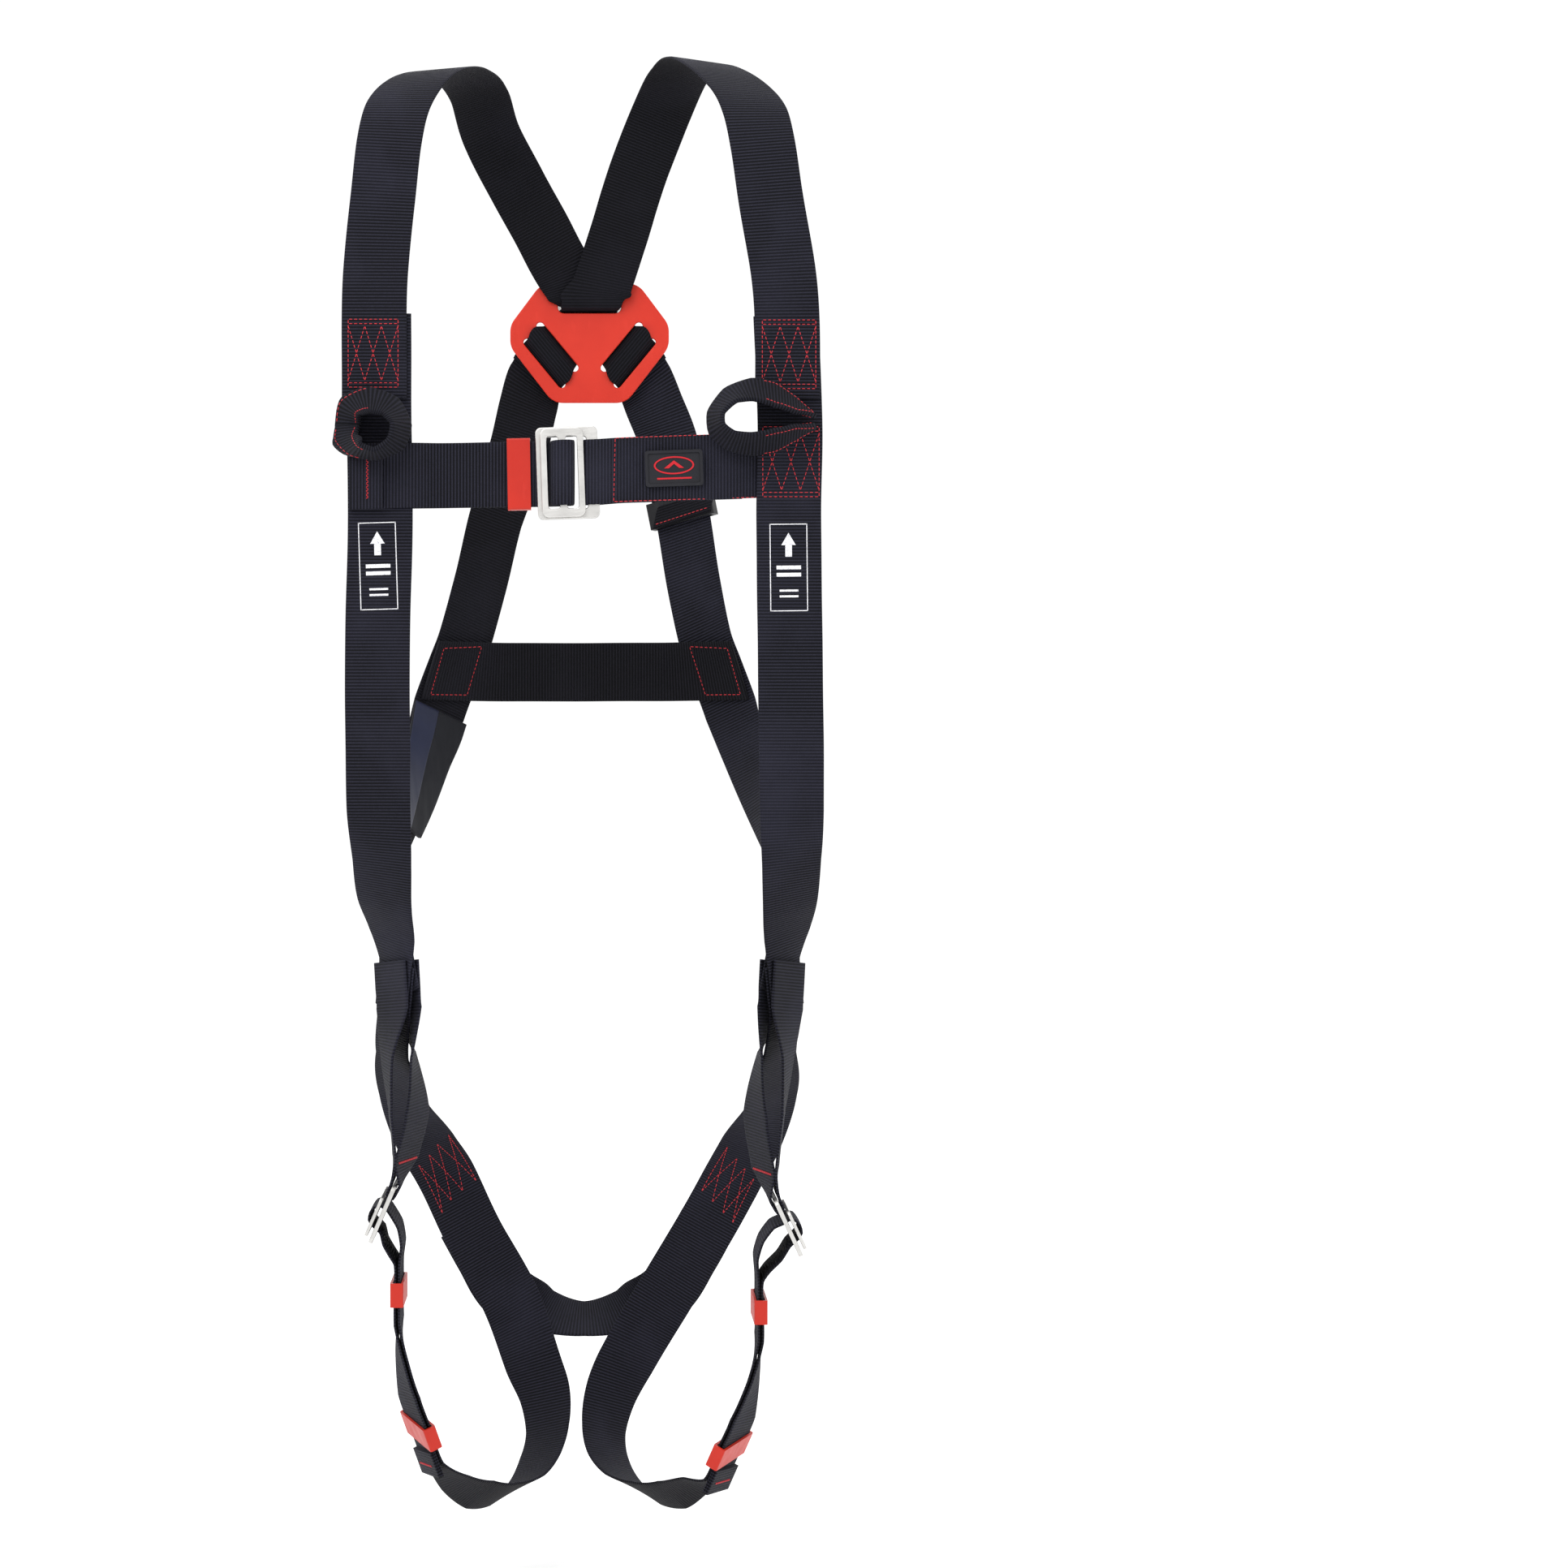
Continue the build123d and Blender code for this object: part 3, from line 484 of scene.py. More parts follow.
back_right = [
    (37.5, -23, -48, 0.72, 0, 0.69),
    (43, -23.2, -58, 0.8, 0, 0.6),
    (49, -24.6, -73, 0.9, 0, 0.43),
    (61, -27, -105, 0.97, -0.1, 0.22),
    (72, -31, -163, 0.88, -0.42, 0.25),
    (80, -36, -214, 0.85, -0.44, 0.3),
    (88.8, -42.3, -258, 0.805, -0.4625, 0.38),
    (97, -47, -281, 0.805, -0.4625, 0.38),
    (107.3, -52.9, -310, 0.805, -0.4625, 0.38),
    (118, -68, -347, 0.62, -0.73, 0.3),
    (132, -101, -400, 0.25, -0.92, 0.3),
    (145, -139, -453, -0.2, -0.93, 0.32),
    hip_station(1, -28, -20, -1, -1),
    hip_station(1, -6, -20, -1, -1),
    hip_station(1, 14, -20, -1, -1),
]
front_left = [
    (-146, -250, -41, 1, 0, 0),
    (-146, -250, -116, 1, 0, 0),
    (-145, -250, -184, 1, 0, 0),
    (-147, -250, -274, 1, 0, 0),
    (-147, -249, -335, 1, 0, 0),
    (-147, -240, -386, 0.99, -0.1, 0),
    (-146, -222, -422, 0.93, -0.33, -0.1),
    (-145.7, -199, -452, 0.88, -0.43, -0.18),
    (-142, -176, -476, 0.74, -0.62, -0.2),
    hip_station(-1, -10, 10, 1, -1),
    hip_station(-1, 8, 10, 1, -1),
    hip_station(-1, 24, 10, 1, -1),
]
front_right = [
    (136, -250, -43, 1, 0, 0),
    (139, -250, -116, 1, 0, 0),
    (138, -250, -184, 1, 0, 0),
    (139, -250, -274, 1, 0, 0),
    (140, -249, -335, 1, 0, 0),
    (141, -240, -386, 0.99, 0.1, 0),
    (142, -222, -422, 0.93, 0.33, 0.1),
    (142.7, -199, -452, 0.88, 0.43, 0.18),
    (142, -176, -476, 0.74, 0.62, 0.2),
    hip_station(1, -10, 10, 1, 1),
    hip_station(1, 8, 10, 1, 1),
    hip_station(1, 24, 10, 1, 1),
]
leg_rear_left = [
    hip_station(-1, -12, 10, 0, -1),
    hip_station(-1, 6, 10, 0, -1),
    hip_station(-1, 24, 10, 0, -1),
    (-144.5, -138, -566, 0.5, -0.86, -0.05),
    (-138, -98, -603, 0.85, -0.47, -0.16),
    (-124, -57, -640, 0.92, -0.15, 0.3),
    (-110, -34, -668, 0.89, 0, 0.45),
    (-89, -31, -713, 0.87, 0, 0.48),
    (-61, -31, -763, 0.85, 0, 0.52),
    (-43, -36, -812, 0.92, -0.2, 0.33),
    (-34, -44, -835, 0.84, -0.45, 0.28),
    (-32, -57, -857, 0.72, -0.62, 0.3),
    (-37, -76, -873, 0.66, -0.7, 0.25),
    (-47, -100, -885, 0.6, -0.72, 0.33),
    (-63, -125, -890, 0.5, -0.68, 0.52),
    (-80, -147, -885, 0.45, -0.68, 0.56),
    (-97, -165, -872, 0.42, -0.8, 0.38),
]
leg_front_left = [
    (-111.5, -178.6, -852.5, 0.32, -0.92, 0.12),
    (-119.5, -184.5, -828, 0.32, -0.92, 0.12),
    (-127.5, -190.4, -803.5, 0.32, -0.92, 0.12),
    (-132.5, -191, -775, 0.18, -0.98, 0),
    (-134.7, -190, -750, 0, -1, 0),
    (-134.7, -190, -728, 0, -1, 0),
    (-134.7, -190, -707, 0, -1, 0),
]
leg_rear_right = [
    hip_station(1, -12, 10, 0, -1),
    hip_station(1, 6, 10, 0, -1),
    hip_station(1, 24, 10, 0, -1),
    (139, -138, -566, -0.52, -0.85, -0.05),
    (136, -98, -603, -0.85, -0.47, -0.16),
    (122, -57, -642, -0.92, -0.15, 0.3),
    (107, -34, -675, -0.89, 0, 0.45),
    (86, -31, -713, -0.87, 0, 0.48),
    (56, -31, -763, -0.85, 0, 0.52),
    (27, -36, -812, -0.9, -0.2, 0.38),
    (16, -44, -835, -0.84, -0.45, 0.33),
    (11, -57, -857, -0.72, -0.62, 0.32),
    (14, -76, -873, -0.66, -0.7, 0.27),
    (25, -100, -884, -0.6, -0.72, 0.33),
    (42, -125, -889, -0.5, -0.68, 0.52),
    (60, -147, -885, -0.45, -0.68, 0.56),
    (77, -165, -873, -0.42, -0.8, 0.38),
]
leg_front_right = [
    (90, -177.6, -864.5, -0.37, -0.9, 0.12),
    (99, -184, -842, -0.37, -0.9, 0.12),
    (108, -190.4, -819.5, -0.37, -0.9, 0.12),
    (115.5, -191, -790, -0.18, -0.98, 0),
    (119.6, -190, -762, 0, -1, 0),
    (119.6, -190, -740, 0, -1, 0),
    (119.6, -190, -719, 0, -1, 0),
]


class Plane:
    """A flat place: local x and y in its face, local z out of it."""

    def __init__(self, origin, x_dir, z_dir):
        self.origin = Vector(origin)
        self.z = Vector(z_dir).normalized()
        x = Vector(x_dir)
        self.x = (x - self.z * x.dot(self.z)).normalized()
        self.y = self.z.cross(self.x)

    def at(self, x, y, z):
        return self.origin + self.x * x + self.y * y + self.z * z

    def matrix(self):
        """Takes local millimetres to Blender's metres."""
        turned = Matrix((self.x, self.y, self.z)).transposed().to_4x4()
        return Matrix.Translation(self.origin * MM) @ turned @ Matrix.Scale(MM, 4)


leg_buckle_left = Plane((-146, -190, -670.5), (0.4, 0, 0.917), (-0.917, 0, 0.4))
leg_buckle_right = Plane((140, -190, -680), (-0.424, 0, 0.906), (0.906, 0, 0.424))
chest_buckle = Plane((-15.2, -250, -151.5), (1, 0, 0.035), (0, -1, 0))
crossbar_turn = [(3.3, -1.5), (4, 3.2), (1.3, 7.2), (-3.4, 8.3), (-8.1, 7.2), (-10.8, 3.2), (-11.8, 0)]
loop_turn = [(22.0, 3.3), (16.0, 3.0), (12.0, 2.4), (10.6, 0), (12.0, -2.4), (16.0, -3.0), (22.0, -3.3)]


def turn_stations(plane, turn, across):
    return [(*plane.at(x, 0, z), *across) for x, z in turn]


def edge_on(*places):
    """Stations where the strap's width runs from back to front."""
    return [(*place, 0, -1, 0) for place in places]


leg_entry_left = edge_on((-133.2, -190, -694), (-135.5, -190, -681))
leg_exit_left = edge_on((-147.6, -190, -684.5), (-145.5, -190, -693), (-141, -190, -701))
leg_entry_right = edge_on((118.6, -190, -704), (122.5, -190, -691), (130, -190, -681))
leg_exit_right = edge_on((141.5, -190, -694), (135.5, -190, -703.5), (127, -190, -712))

CHEST_REAR_Y, CHEST_TAIL_Y = -244.2, -247.2
chest_anchor = [
    (-166, -247.2, -154.5, *UP),
    (-126, -247.2, -153.5, *UP),
    (-103, CHEST_REAR_Y, -153, *UP),
    (-60, CHEST_REAR_Y, -152.2, *UP),
    (-30, CHEST_REAR_Y, -151.8, *UP),
    (-17, -245.2, -151.5, *UP),
]
chest_tail = [
    (-29.8, CHEST_TAIL_Y, -151.8, *UP),
    (-36, CHEST_TAIL_Y, -151.9, *UP),
    (-60, CHEST_TAIL_Y, -152.2, *UP),
    (-103, CHEST_TAIL_Y, -153, *UP),
    (-122, -252, -153.4, *UP),
    (-136, -252.8, -153.7, *UP),
    (-145, -252.8, -153.9, *UP),
]
chest_front_layer = [
    (158, -247.2, -145, *UP),
    (116, -247.2, -146, *UP),
    (92, -249.2, -147, *UP),
    (78, -249.4, -147.4, *UP),
    (38, -249.4, -148.8, *UP),
    (20, -250.6, -149.6, *UP),
]
chest_rear_layer = [
    (20, -247, -149.6, *UP),
    (38, -246.6, -148.8, *UP),
    (92, -246.4, -147, *UP),
    (106, -245.4, -146.4, *UP),
]
BAND_Z = -281.0
lumbar_stations = [
    (-121, -63, BAND_Z, 0.29, 0, 0.96),
    (-102.7, -52.6, BAND_Z, 0.2, 0, 0.98),
    (-85, -42.8, BAND_Z, 0.1, 0, 0.99),
    (-60, -33.5, BAND_Z, *UP),
    (-3, -29, BAND_Z, *UP),
    (54, -33.5, BAND_Z, *UP),
    (78, -42.8, BAND_Z, -0.1, 0, 0.99),
    (95.7, -52.6, BAND_Z, -0.2, 0, 0.98),
    (114, -63, BAND_Z, -0.29, 0, 0.96),
]
sub_pelvic_stations = [
    (-95, -26.6, -705, 0.86, 0, 0.5),
    (-81, -26.6, -730, 0.85, 0, 0.53),
    (-64, -20.5, -759, 0.78, 0.18, 0.6),
    (-38, -11, -775, 0.4, 0.78, 0.48),
    (-4, -7, -782.6, 0, 0.907, 0.42),
    (31, -11, -775, -0.4, 0.78, 0.48),
    (59, -20.5, -759, -0.78, 0.18, 0.6),
    (77, -26.6, -730, -0.85, 0, 0.53),
    (91, -26.6, -705, -0.86, 0, 0.5),
]
chest_loop_right = [
    (156, -259, -113.4, 0, -1, -0.1, 0.3),
    (142, -264, -106.5, 0, -0.7, -0.72, 0.7),
    (127, -268, -99.5, 0, -0.62, -0.78),
    (112, -270, -96.5, 0.1, -0.7, -0.7),
    (97, -270, -100.5, 0.35, -0.8, -0.4),
    (87, -270, -112, 0.4, -0.9, -0.1),
    (87.5, -270, -123, 0.35, -0.9, 0.15),
    (97, -270, -131, 0.2, -0.9, 0.35),
    (112, -270, -133.5, 0, -0.85, 0.5),
    (127, -268, -131, 0, -0.8, 0.55),
    (142, -264, -125, 0, -0.8, 0.5, 0.7),
    (156, -259, -120, 0, -1, 0.1, 0.3),
]
chest_loop_left = [
    (-167, -258.5, -119.4, 0.9, -0.43, 0, 0.8),
    (-165, -264, -108, 0.6, -0.6, -0.5, 0.95),
    (-152, -270, -103.5, 0.1, -0.6, -0.79),
    (-137, -270, -108, -0.4, -0.7, -0.5),
    (-129.5, -270, -120, -0.5, -0.85, 0),
    (-133, -270, -133, -0.35, -0.9, 0.15),
    (-147, -271.2, -140.5, 0, -0.97, 0.15),
    (-161, -270.8, -137, 0.35, -0.9, 0.2),
    (-168, -263, -129, 0.7, -0.7, 0.1, 0.95),
    (-167, -258.5, -120.4, 0.9, -0.43, 0, 0.8),
]


def strap(node, stations, material=WEBBING, body="harness", width=WEB_WIDTH,
          thickness=WEB_THICK, outer=0):
    """A visible strap that stands for its CAD node, which it hides."""
    piece, length = ribbon(f"{node}_webbing", stations, material, width, body, thickness, outer=outer)
    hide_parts(node)


FOLD_LAYERS = 3
FOLD_SPREAD, FOLD_TAPER = 0.4, 0.3      # how much wider the first layer is, and the loss with each layer
FOLD_CLOSE = 1.02                       # share of its room that a layer takes up


def folded_end(name, stations, thickness):
    """The end of a tail, turned back on itself twice and sewn: three rounded layers."""
    pieces = []
    layer_thick = thickness / FOLD_LAYERS
    for i in range(FOLD_LAYERS):
        run = layered(stations, (i - 1) * layer_thick)
        width = WEB_WIDTH + FOLD_SPREAD - FOLD_TAPER * i
        thick = layer_thick * FOLD_CLOSE
        piece, _ = ribbon(f"{name}_fold_{i + 1}", run, WEBBING, width, thickness=thick, cup=0)
        pieces.append(piece)
    return pieces


strap("shoulder_strap_left", shoulder_left, outer=-1)
strap("shoulder_strap_right", shoulder_right, outer=-1)
strap("front_strap_left", front_left, outer=1)
strap("front_strap_right", front_right, outer=1)
strap("back_strap_left", back_left, outer=-1)
slider_flap = [(75, -37.2, -143, 0.88, -0.42, 0.25), (70.6, -37.6, -165, 0.88, -0.42, 0.25)]
# The slider flap takes the darker copy: the duller reverse with painted shade.
flap, _ = ribbon("back_strap_right_flap", slider_flap, REVERSE_AND_SHADE, WEB_WIDTH + FOLD_SPREAD)
strap("back_strap_right", back_right, outer=1)
# The lumbar band's darker colour is painted shade.
strap("lumbar_band", lumbar_stations, material=SHADED_BAND)
strap("sub_pelvic_strap", sub_pelvic_stations)

chest_end = [(-143, -254.3, -153.8, *UP), (-166, -254.3, -154.5, *UP)]
CHEST_FOLD_THICK, LEG_FOLD_THICK = 5.0, 4.4
chest_fold = folded_end("chest_strap_left", chest_end, CHEST_FOLD_THICK)
strap(
    "chest_strap_left",
    chest_anchor + turn_stations(chest_buckle, crossbar_turn, UP) + chest_tail,
)
strap(
    "chest_strap_right",
    chest_front_layer + turn_stations(chest_buckle, loop_turn, UP) + chest_rear_layer,
)

legs = {
    "left": (-1, leg_rear_left, leg_entry_left, leg_buckle_left, leg_exit_left, leg_front_left),
    "right": (1, leg_rear_right, leg_entry_right, leg_buckle_right, leg_exit_right, leg_front_right),
}
loop_outer = {
    "left": [(-146, -172, -562), (-143, -179, -602), (-139.5, -187, -634)],
    "right": [(143, -172, -562), (139, -179, -602), (134, -187, -642)],
}
loop_inner = {
    "left": [(-131, -187, -636), (-123.5, -180, -602), (-127, -173, -562)],
    "right": [(124.5, -187, -644), (119, -180, -604), (123, -173, -562)],
}
TAIL_END, TAIL_SPARE, TAIL_RISE = 20.0, 9.0, 1.6
HIP_LAP = (-12, 5, 22)
HIP_LEAN = -6
TAIL_PLACES = {}
for name, (side, rear, entry, buckle, leave, front) in legs.items():
    tail = layered(front, side * LAYER)[::-1]
    end_start = Vector(tail[-1][:3])
    end_run = (end_start - Vector(tail[-2][:3])).normalized()
    end_face = end_run.cross(Vector(tail[-1][3:6])).normalized() * (-side)
    end_centre = end_start + end_face * TAIL_RISE
    end_finish = end_centre + end_run * TAIL_SPARE
    end_begin = end_finish - end_run * TAIL_END
    fold = [(*end_begin, *tail[-1][3:6]), (*end_finish, *tail[-1][3:6])]
    TAIL_PLACES[name] = (end_centre, end_run, end_face, Vector(tail[-1][3:6]).normalized())
    turn = turn_stations(buckle, crossbar_turn, (0, -1, 0))
    ends = folded_end(f"leg_strap_{name}", fold, LEG_FOLD_THICK)
    strap(
        f"leg_strap_{name}",
        rear + front + entry + turn + leave + tail,
        outer=-side,
    )
    outer = [(x, y, z, side * 0.25, 0.97, 0) for x, y, z in loop_outer[name][:1]]
    outer += [(x, y, z, side * 0.1, 0.99, 0) for x, y, z in loop_outer[name][1:]]
    inner = [(x, y, z, side * -0.3, 0.95, 0) for x, y, z in loop_inner[name][:2]]
    inner += [(x, y, z, 0, 1, 0) for x, y, z in loop_inner[name][2:]]
    strap(
        f"hip_loop_{name}",
        [hip_station(side, along, HIP_LEAN, 2, 1) for along in HIP_LAP]
        + outer
        + turn_stations(buckle, loop_turn, (0, 1, 0))
        + inner
        + [hip_station(side, along, HIP_LEAN, -2, 1) for along in reversed(HIP_LAP)],
    )

LOOP_WIDTH, LOOP_THICK = 24.0, 3.6
for name, stations in (("left", chest_loop_left), ("right", chest_loop_right)):
    strap(f"chest_loop_{name}", stations, material=TAPE,
          body=f"chest_loop_{name}", width=LOOP_WIDTH, thickness=LOOP_THICK)


# ---- stitching: short threads laid along lines on a surface ----
DASH, DASH_GAP, THREAD_WIDE = 2.5, 0.9, 0.62
DASH_FROM, DASH_TO = 0.12, 0.88         # the share of its room that a dash fills
THREAD_SIDES = 6
# Along a dash: share of its length, share of its width, and rise over the surface.
DASH_SHAPE = ((0, 0.35, -0.35), (0.15, 0.85, 0.1), (0.5, 1, 0.2), (0.85, 0.85, 0.1), (1, 0.35, -0.35))


def stitch(name, lines, body="harness"):
    """Each line is a list of (place, outward normal) in millimetres."""
    mesh = bmesh.new()
    for line in lines:
        for (start, out_a), (end, out_b) in zip(line, line[1:]):
            start, end = Vector(start), Vector(end)
            reach = (end - start).length
            count = max(1, round(reach / (DASH + DASH_GAP)))
            for i in range(count):
                low = (i + DASH_FROM) / count
                high = (i + DASH_TO) / count
                out = (Vector(out_a).lerp(Vector(out_b), (low + high) / 2)).normalized()
                a = start.lerp(end, low)
                b = start.lerp(end, high)
                run = (b - a).normalized()
                across = run.cross(out).normalized()
                rings = []
                for u, size, rise in DASH_SHAPE:
                    middle = a.lerp(b, u) + out * rise
                    ring = []
                    for k in range(THREAD_SIDES):
                        angle = math.tau * k / THREAD_SIDES
                        offset = across * math.cos(angle) + out * math.sin(angle)
                        ring.append(mesh.verts.new((middle + offset * (THREAD_WIDE / 2 * size)) * MM))
                    rings.append(ring)
                for r1, r2 in zip(rings, rings[1:]):
                    for k in range(THREAD_SIDES):
                        after = (k + 1) % THREAD_SIDES
                        face = mesh.faces.new((r1[k], r1[after], r2[after], r2[k]))
                        face.smooth = True
                mesh.faces.new(rings[0][::-1])
                mesh.faces.new(rings[-1])
    bmesh.ops.recalc_face_normals(mesh, faces=mesh.faces)
    data = bpy.data.meshes.new(name)
    mesh.to_mesh(data)
    mesh.free()
    link(name, data, THREAD, body)


STEP_SLACK, EDGE_SLACK = 0.6, 3         # how far past a step, and past an edge, a place is still found


def on_face(strap_name, x, z):
    """The place on a strap's front face that is seen at x and z, and its outward normal."""
    frames = STRAPS[f"{strap_name}_webbing"]
    best = None
    for (centre, run, side, share), (after, _, _, _) in zip(frames, frames[1:]):
        step = after - centre
        spread = step.x * side.z - step.z * side.x
        if abs(spread) < 1e-6:
            continue
        u = ((x - centre.x) * side.z - (z - centre.z) * side.x) / spread
        t = (step.x * (z - centre.z) - step.z * (x - centre.x)) / spread
        if -STEP_SLACK <= u <= 1 + STEP_SLACK and abs(t) < WEB_WIDTH * share / 2 + EDGE_SLACK:
            place = centre + step * u + side * t
            normal = run.cross(side).normalized()
            if normal.y > 0:
                normal = -normal
            rank = (round(place.y), abs(u - 0.5))
            if best is None or rank < best[0]:
                best = (rank, place + normal * WEB_THICK / 2, normal)
    if best is None:
        raise ValueError(f"{strap_name} isn't at {x}, {z}")
    return best[1], best[2]


def follow(strap_name, points, pieces=1):
    """A stitch line over a strap's front face, through points seen at x and z."""
    line = []
    for (x1, z1), (x2, z2) in zip(points, points[1:]):
        for k in range(pieces):
            u = k / pieces
            line.append(on_face(strap_name, x1 + (x2 - x1) * u, z1 + (z2 - z1) * u))
    line.append(on_face(strap_name, *points[-1]))
    return line


ROW_GAP, ZIGZAG_INSET, ZIGZAG_RUNS = 3, 4.5, 3


def stitch_box(strap_name, left, right, low, high):
    """A sewn box: double rows at top and bottom, plain sides, and two crossing zigzags."""
    lines = []
    for z in (low, low + ROW_GAP, high - ROW_GAP, high):
        lines.append(follow(strap_name, [(left, z), (right, z)]))
    for x in (left, right):
        lines.append(follow(strap_name, [(x, low), (x, high)]))
    width = (right - left) / ZIGZAG_RUNS
    ends = (low + ZIGZAG_INSET, high - ZIGZAG_INSET)
    for start in (0, 1):
        turns = [(left + width * i, ends[(i + start) % 2]) for i in range(ZIGZAG_RUNS + 1)]
        lines.append(follow(strap_name, turns))
    return lines


stitch("stitch_chest_box_left", stitch_box("shoulder_strap_left", -167, -132.5, -92.5, -45.5))
stitch("stitch_chest_box_right", stitch_box("shoulder_strap_right", 119.5, 156.5, -93.5, -46))
stitch("stitch_chest_anchor_right", stitch_box("front_strap_right", 120, 159, -168, -119.5))
rectangle = [(118, -123.5), (17.5, -127.5), (16.5, -171.5), (118, -168)]
stitch("stitch_chest_panel", [follow("chest_strap_right", rectangle)])

LEG_STITCH_PIECES, BAND_STITCH_PIECES = 6, 4
leg_tops = {"left": [(-107, -632), (-116, -640), (-122.6, -649), (-131, -657.5)],
            "right": [(105, -642.4), (112.7, -652), (119.2, -660), (126.2, -668.5)]}
leg_bottoms = {"left": [(-87, -672), (-97.4, -679.7), (-106.1, -687.2), (-113, -697.2)],
               "right": [(86, -680), (94.2, -688.4), (102.4, -697.1), (109.8, -704.6)]}
for name in ("left", "right"):
    tops, bottoms = leg_tops[name], leg_bottoms[name]
    runs = []
    for i in range(3):
        runs += [[tops[i], bottoms[i + 1]], [tops[i + 1], bottoms[i]]]
    runs += [[tops[0], bottoms[0]], [tops[3], bottoms[3]]]
    stitch(f"stitch_leg_{name}", [follow(f"leg_strap_{name}", run, LEG_STITCH_PIECES) for run in runs])

band_boxes = {"left": [(-111, -264), (-83, -262), (-94, -299), (-121, -299)],
              "right": [(77, -262), (105, -264), (115, -299), (89, -299)]}
for name, corners in band_boxes.items():
    stitch(f"stitch_band_{name}", [follow("lumbar_band", corners + corners[:1], BAND_STITCH_PIECES)])


def lengthwise(strap_name, first, last, offset, face, thickness):
    """A stitch line along part of a strap (first to last, from 0 to 1), offset from its middle."""
    frames = STRAPS[f"{strap_name}_webbing"]
    chosen = frames[round(first * (len(frames) - 1)):round(last * (len(frames) - 1)) + 1]
    line = []
    for centre, run, side, share in chosen:
        normal = run.cross(side).normalized() * face
        line.append((centre + side * (offset * share) + normal * (thickness / 2), normal))
    return line


LOOP_SEWN = ((0.02, 0.24), (0.76, 0.98))
LOOP_ROW = 9.5
for name in ("left", "right"):
    lines = []
    for first, last in LOOP_SEWN:
        for face in (1, -1):
            for offset in (-LOOP_ROW, LOOP_ROW):
                lines.append(lengthwise(f"chest_loop_{name}", first, last, offset, face, LOOP_THICK))
    stitch(f"stitch_chest_loop_{name}", lines, f"chest_loop_{name}")
flap_ends = ((50.5, -27.5, -167.3), (90, -46.5, -156))
flap_line = [(Vector(end) + Vector((0, -1.4, 0)), (0, -1, 0)) for end in flap_ends]
stitch("stitch_back_slider", [flap_line])

BARTACK_PITCH = 1.3


def bartack(name, centre, run, out, length, width):
    """A dense zigzag bar of thread along run, on a face that looks along out."""
    run, out = Vector(run).normalized(), Vector(out).normalized()
    across = run.cross(out).normalized()
    count = max(4, round(length / BARTACK_PITCH))
    line = []
    for i in range(count + 1):
        side = width / 2 if i % 2 else -width / 2
        line.append((Vector(centre) + run * (length * (i / count - 0.5)) + across * side, out))
    stitch(name, [line])


bartack("bartack_chest_left", (-153.6, -256.9, -153.5), (0, 0, 1), (0, -1, 0), 33, 2.2)
for name, (side, *_) in legs.items():
    across = Vector((side * -0.3, 0.95, 0)).normalized()
    out = Vector((side * -0.95, -0.3, 0)).normalized()
    bartack(f"bartack_hip_{name}", Vector(loop_inner[name][0]) + out * 1.2, across, out, 36, 2.2)
for name, (centre, run, face, across) in TAIL_PLACES.items():
    bartack(f"bartack_leg_tail_{name}", centre + face * 2.35, across, face, 30, 2.0)


# ---- printed marks: a white frame with an arrow and plain bars ----
PRINT_THICK = 0.12


def printed(name, shapes, plane):
    """Thin printed shapes: each is a closed outline in the plane's x and y, in millimetres."""
    mesh = bmesh.new()
    for outline in shapes:
        face = mesh.faces.new([mesh.verts.new(plane.at(x, y, 0) * MM) for x, y in outline])
        pushed = bmesh.ops.extrude_face_region(mesh, geom=[face])
        for item in pushed["geom"]:
            if isinstance(item, bmesh.types.BMVert):
                item.co += plane.z * PRINT_THICK * MM
    bmesh.ops.recalc_face_normals(mesh, faces=mesh.faces)
    data = bpy.data.meshes.new(name)
    mesh.to_mesh(data)
    mesh.free()
    link(name, data, PRINT, "harness")


def bar(x, y, width, height):
    return [(x - width / 2, y - height / 2), (x + width / 2, y - height / 2),
            (x + width / 2, y + height / 2), (x - width / 2, y + height / 2)]


def label_shapes():
    wide, tall, line = 25.5, 60.0, 0.6
    return [
        bar(0, tall / 2, wide, line),
        bar(0, -tall / 2, wide, line),
        bar(-wide / 2, 0, line, tall + line),
        bar(wide / 2, 0, line, tall + line),
        [(-5, 15.5), (5, 15.5), (0, 24)],
        bar(0, 11.5, 4.6, 8),
        bar(0, 0, 17, 2.6),
        bar(0, -5, 17, 2.6),
        bar(0, -16, 13, 1.4),
        bar(0, -20, 13, 1.4),
    ]


LABEL_FACE_Y = -250 - WEB_THICK / 2 - 0.05
printed("label_left", label_shapes(), Plane((-146.5, LABEL_FACE_Y, -216), (1, 0, 0.03), (0, -1, 0)))
printed("label_right", label_shapes(), Plane((138, LABEL_FACE_Y, -217), (1, 0, 0.01), (0, -1, 0)))


# ---- moulded and pressed pieces ----
CORNER_STEPS, ROUND_STEPS, ELLIPSE_STEPS = 6, 8, 40


def rounded_rectangle(width, height, radius, centre=(0, 0)):
    points = []
    for cx, cy, start in ((1, 1, 0), (-1, 1, 90), (-1, -1, 180), (1, -1, 270)):
        for k in range(CORNER_STEPS + 1):
            angle = math.radians(start + 90 * k / CORNER_STEPS)
            points.append((centre[0] + cx * (width / 2 - radius) + radius * math.cos(angle),
                           centre[1] + cy * (height / 2 - radius) + radius * math.sin(angle)))
    return points


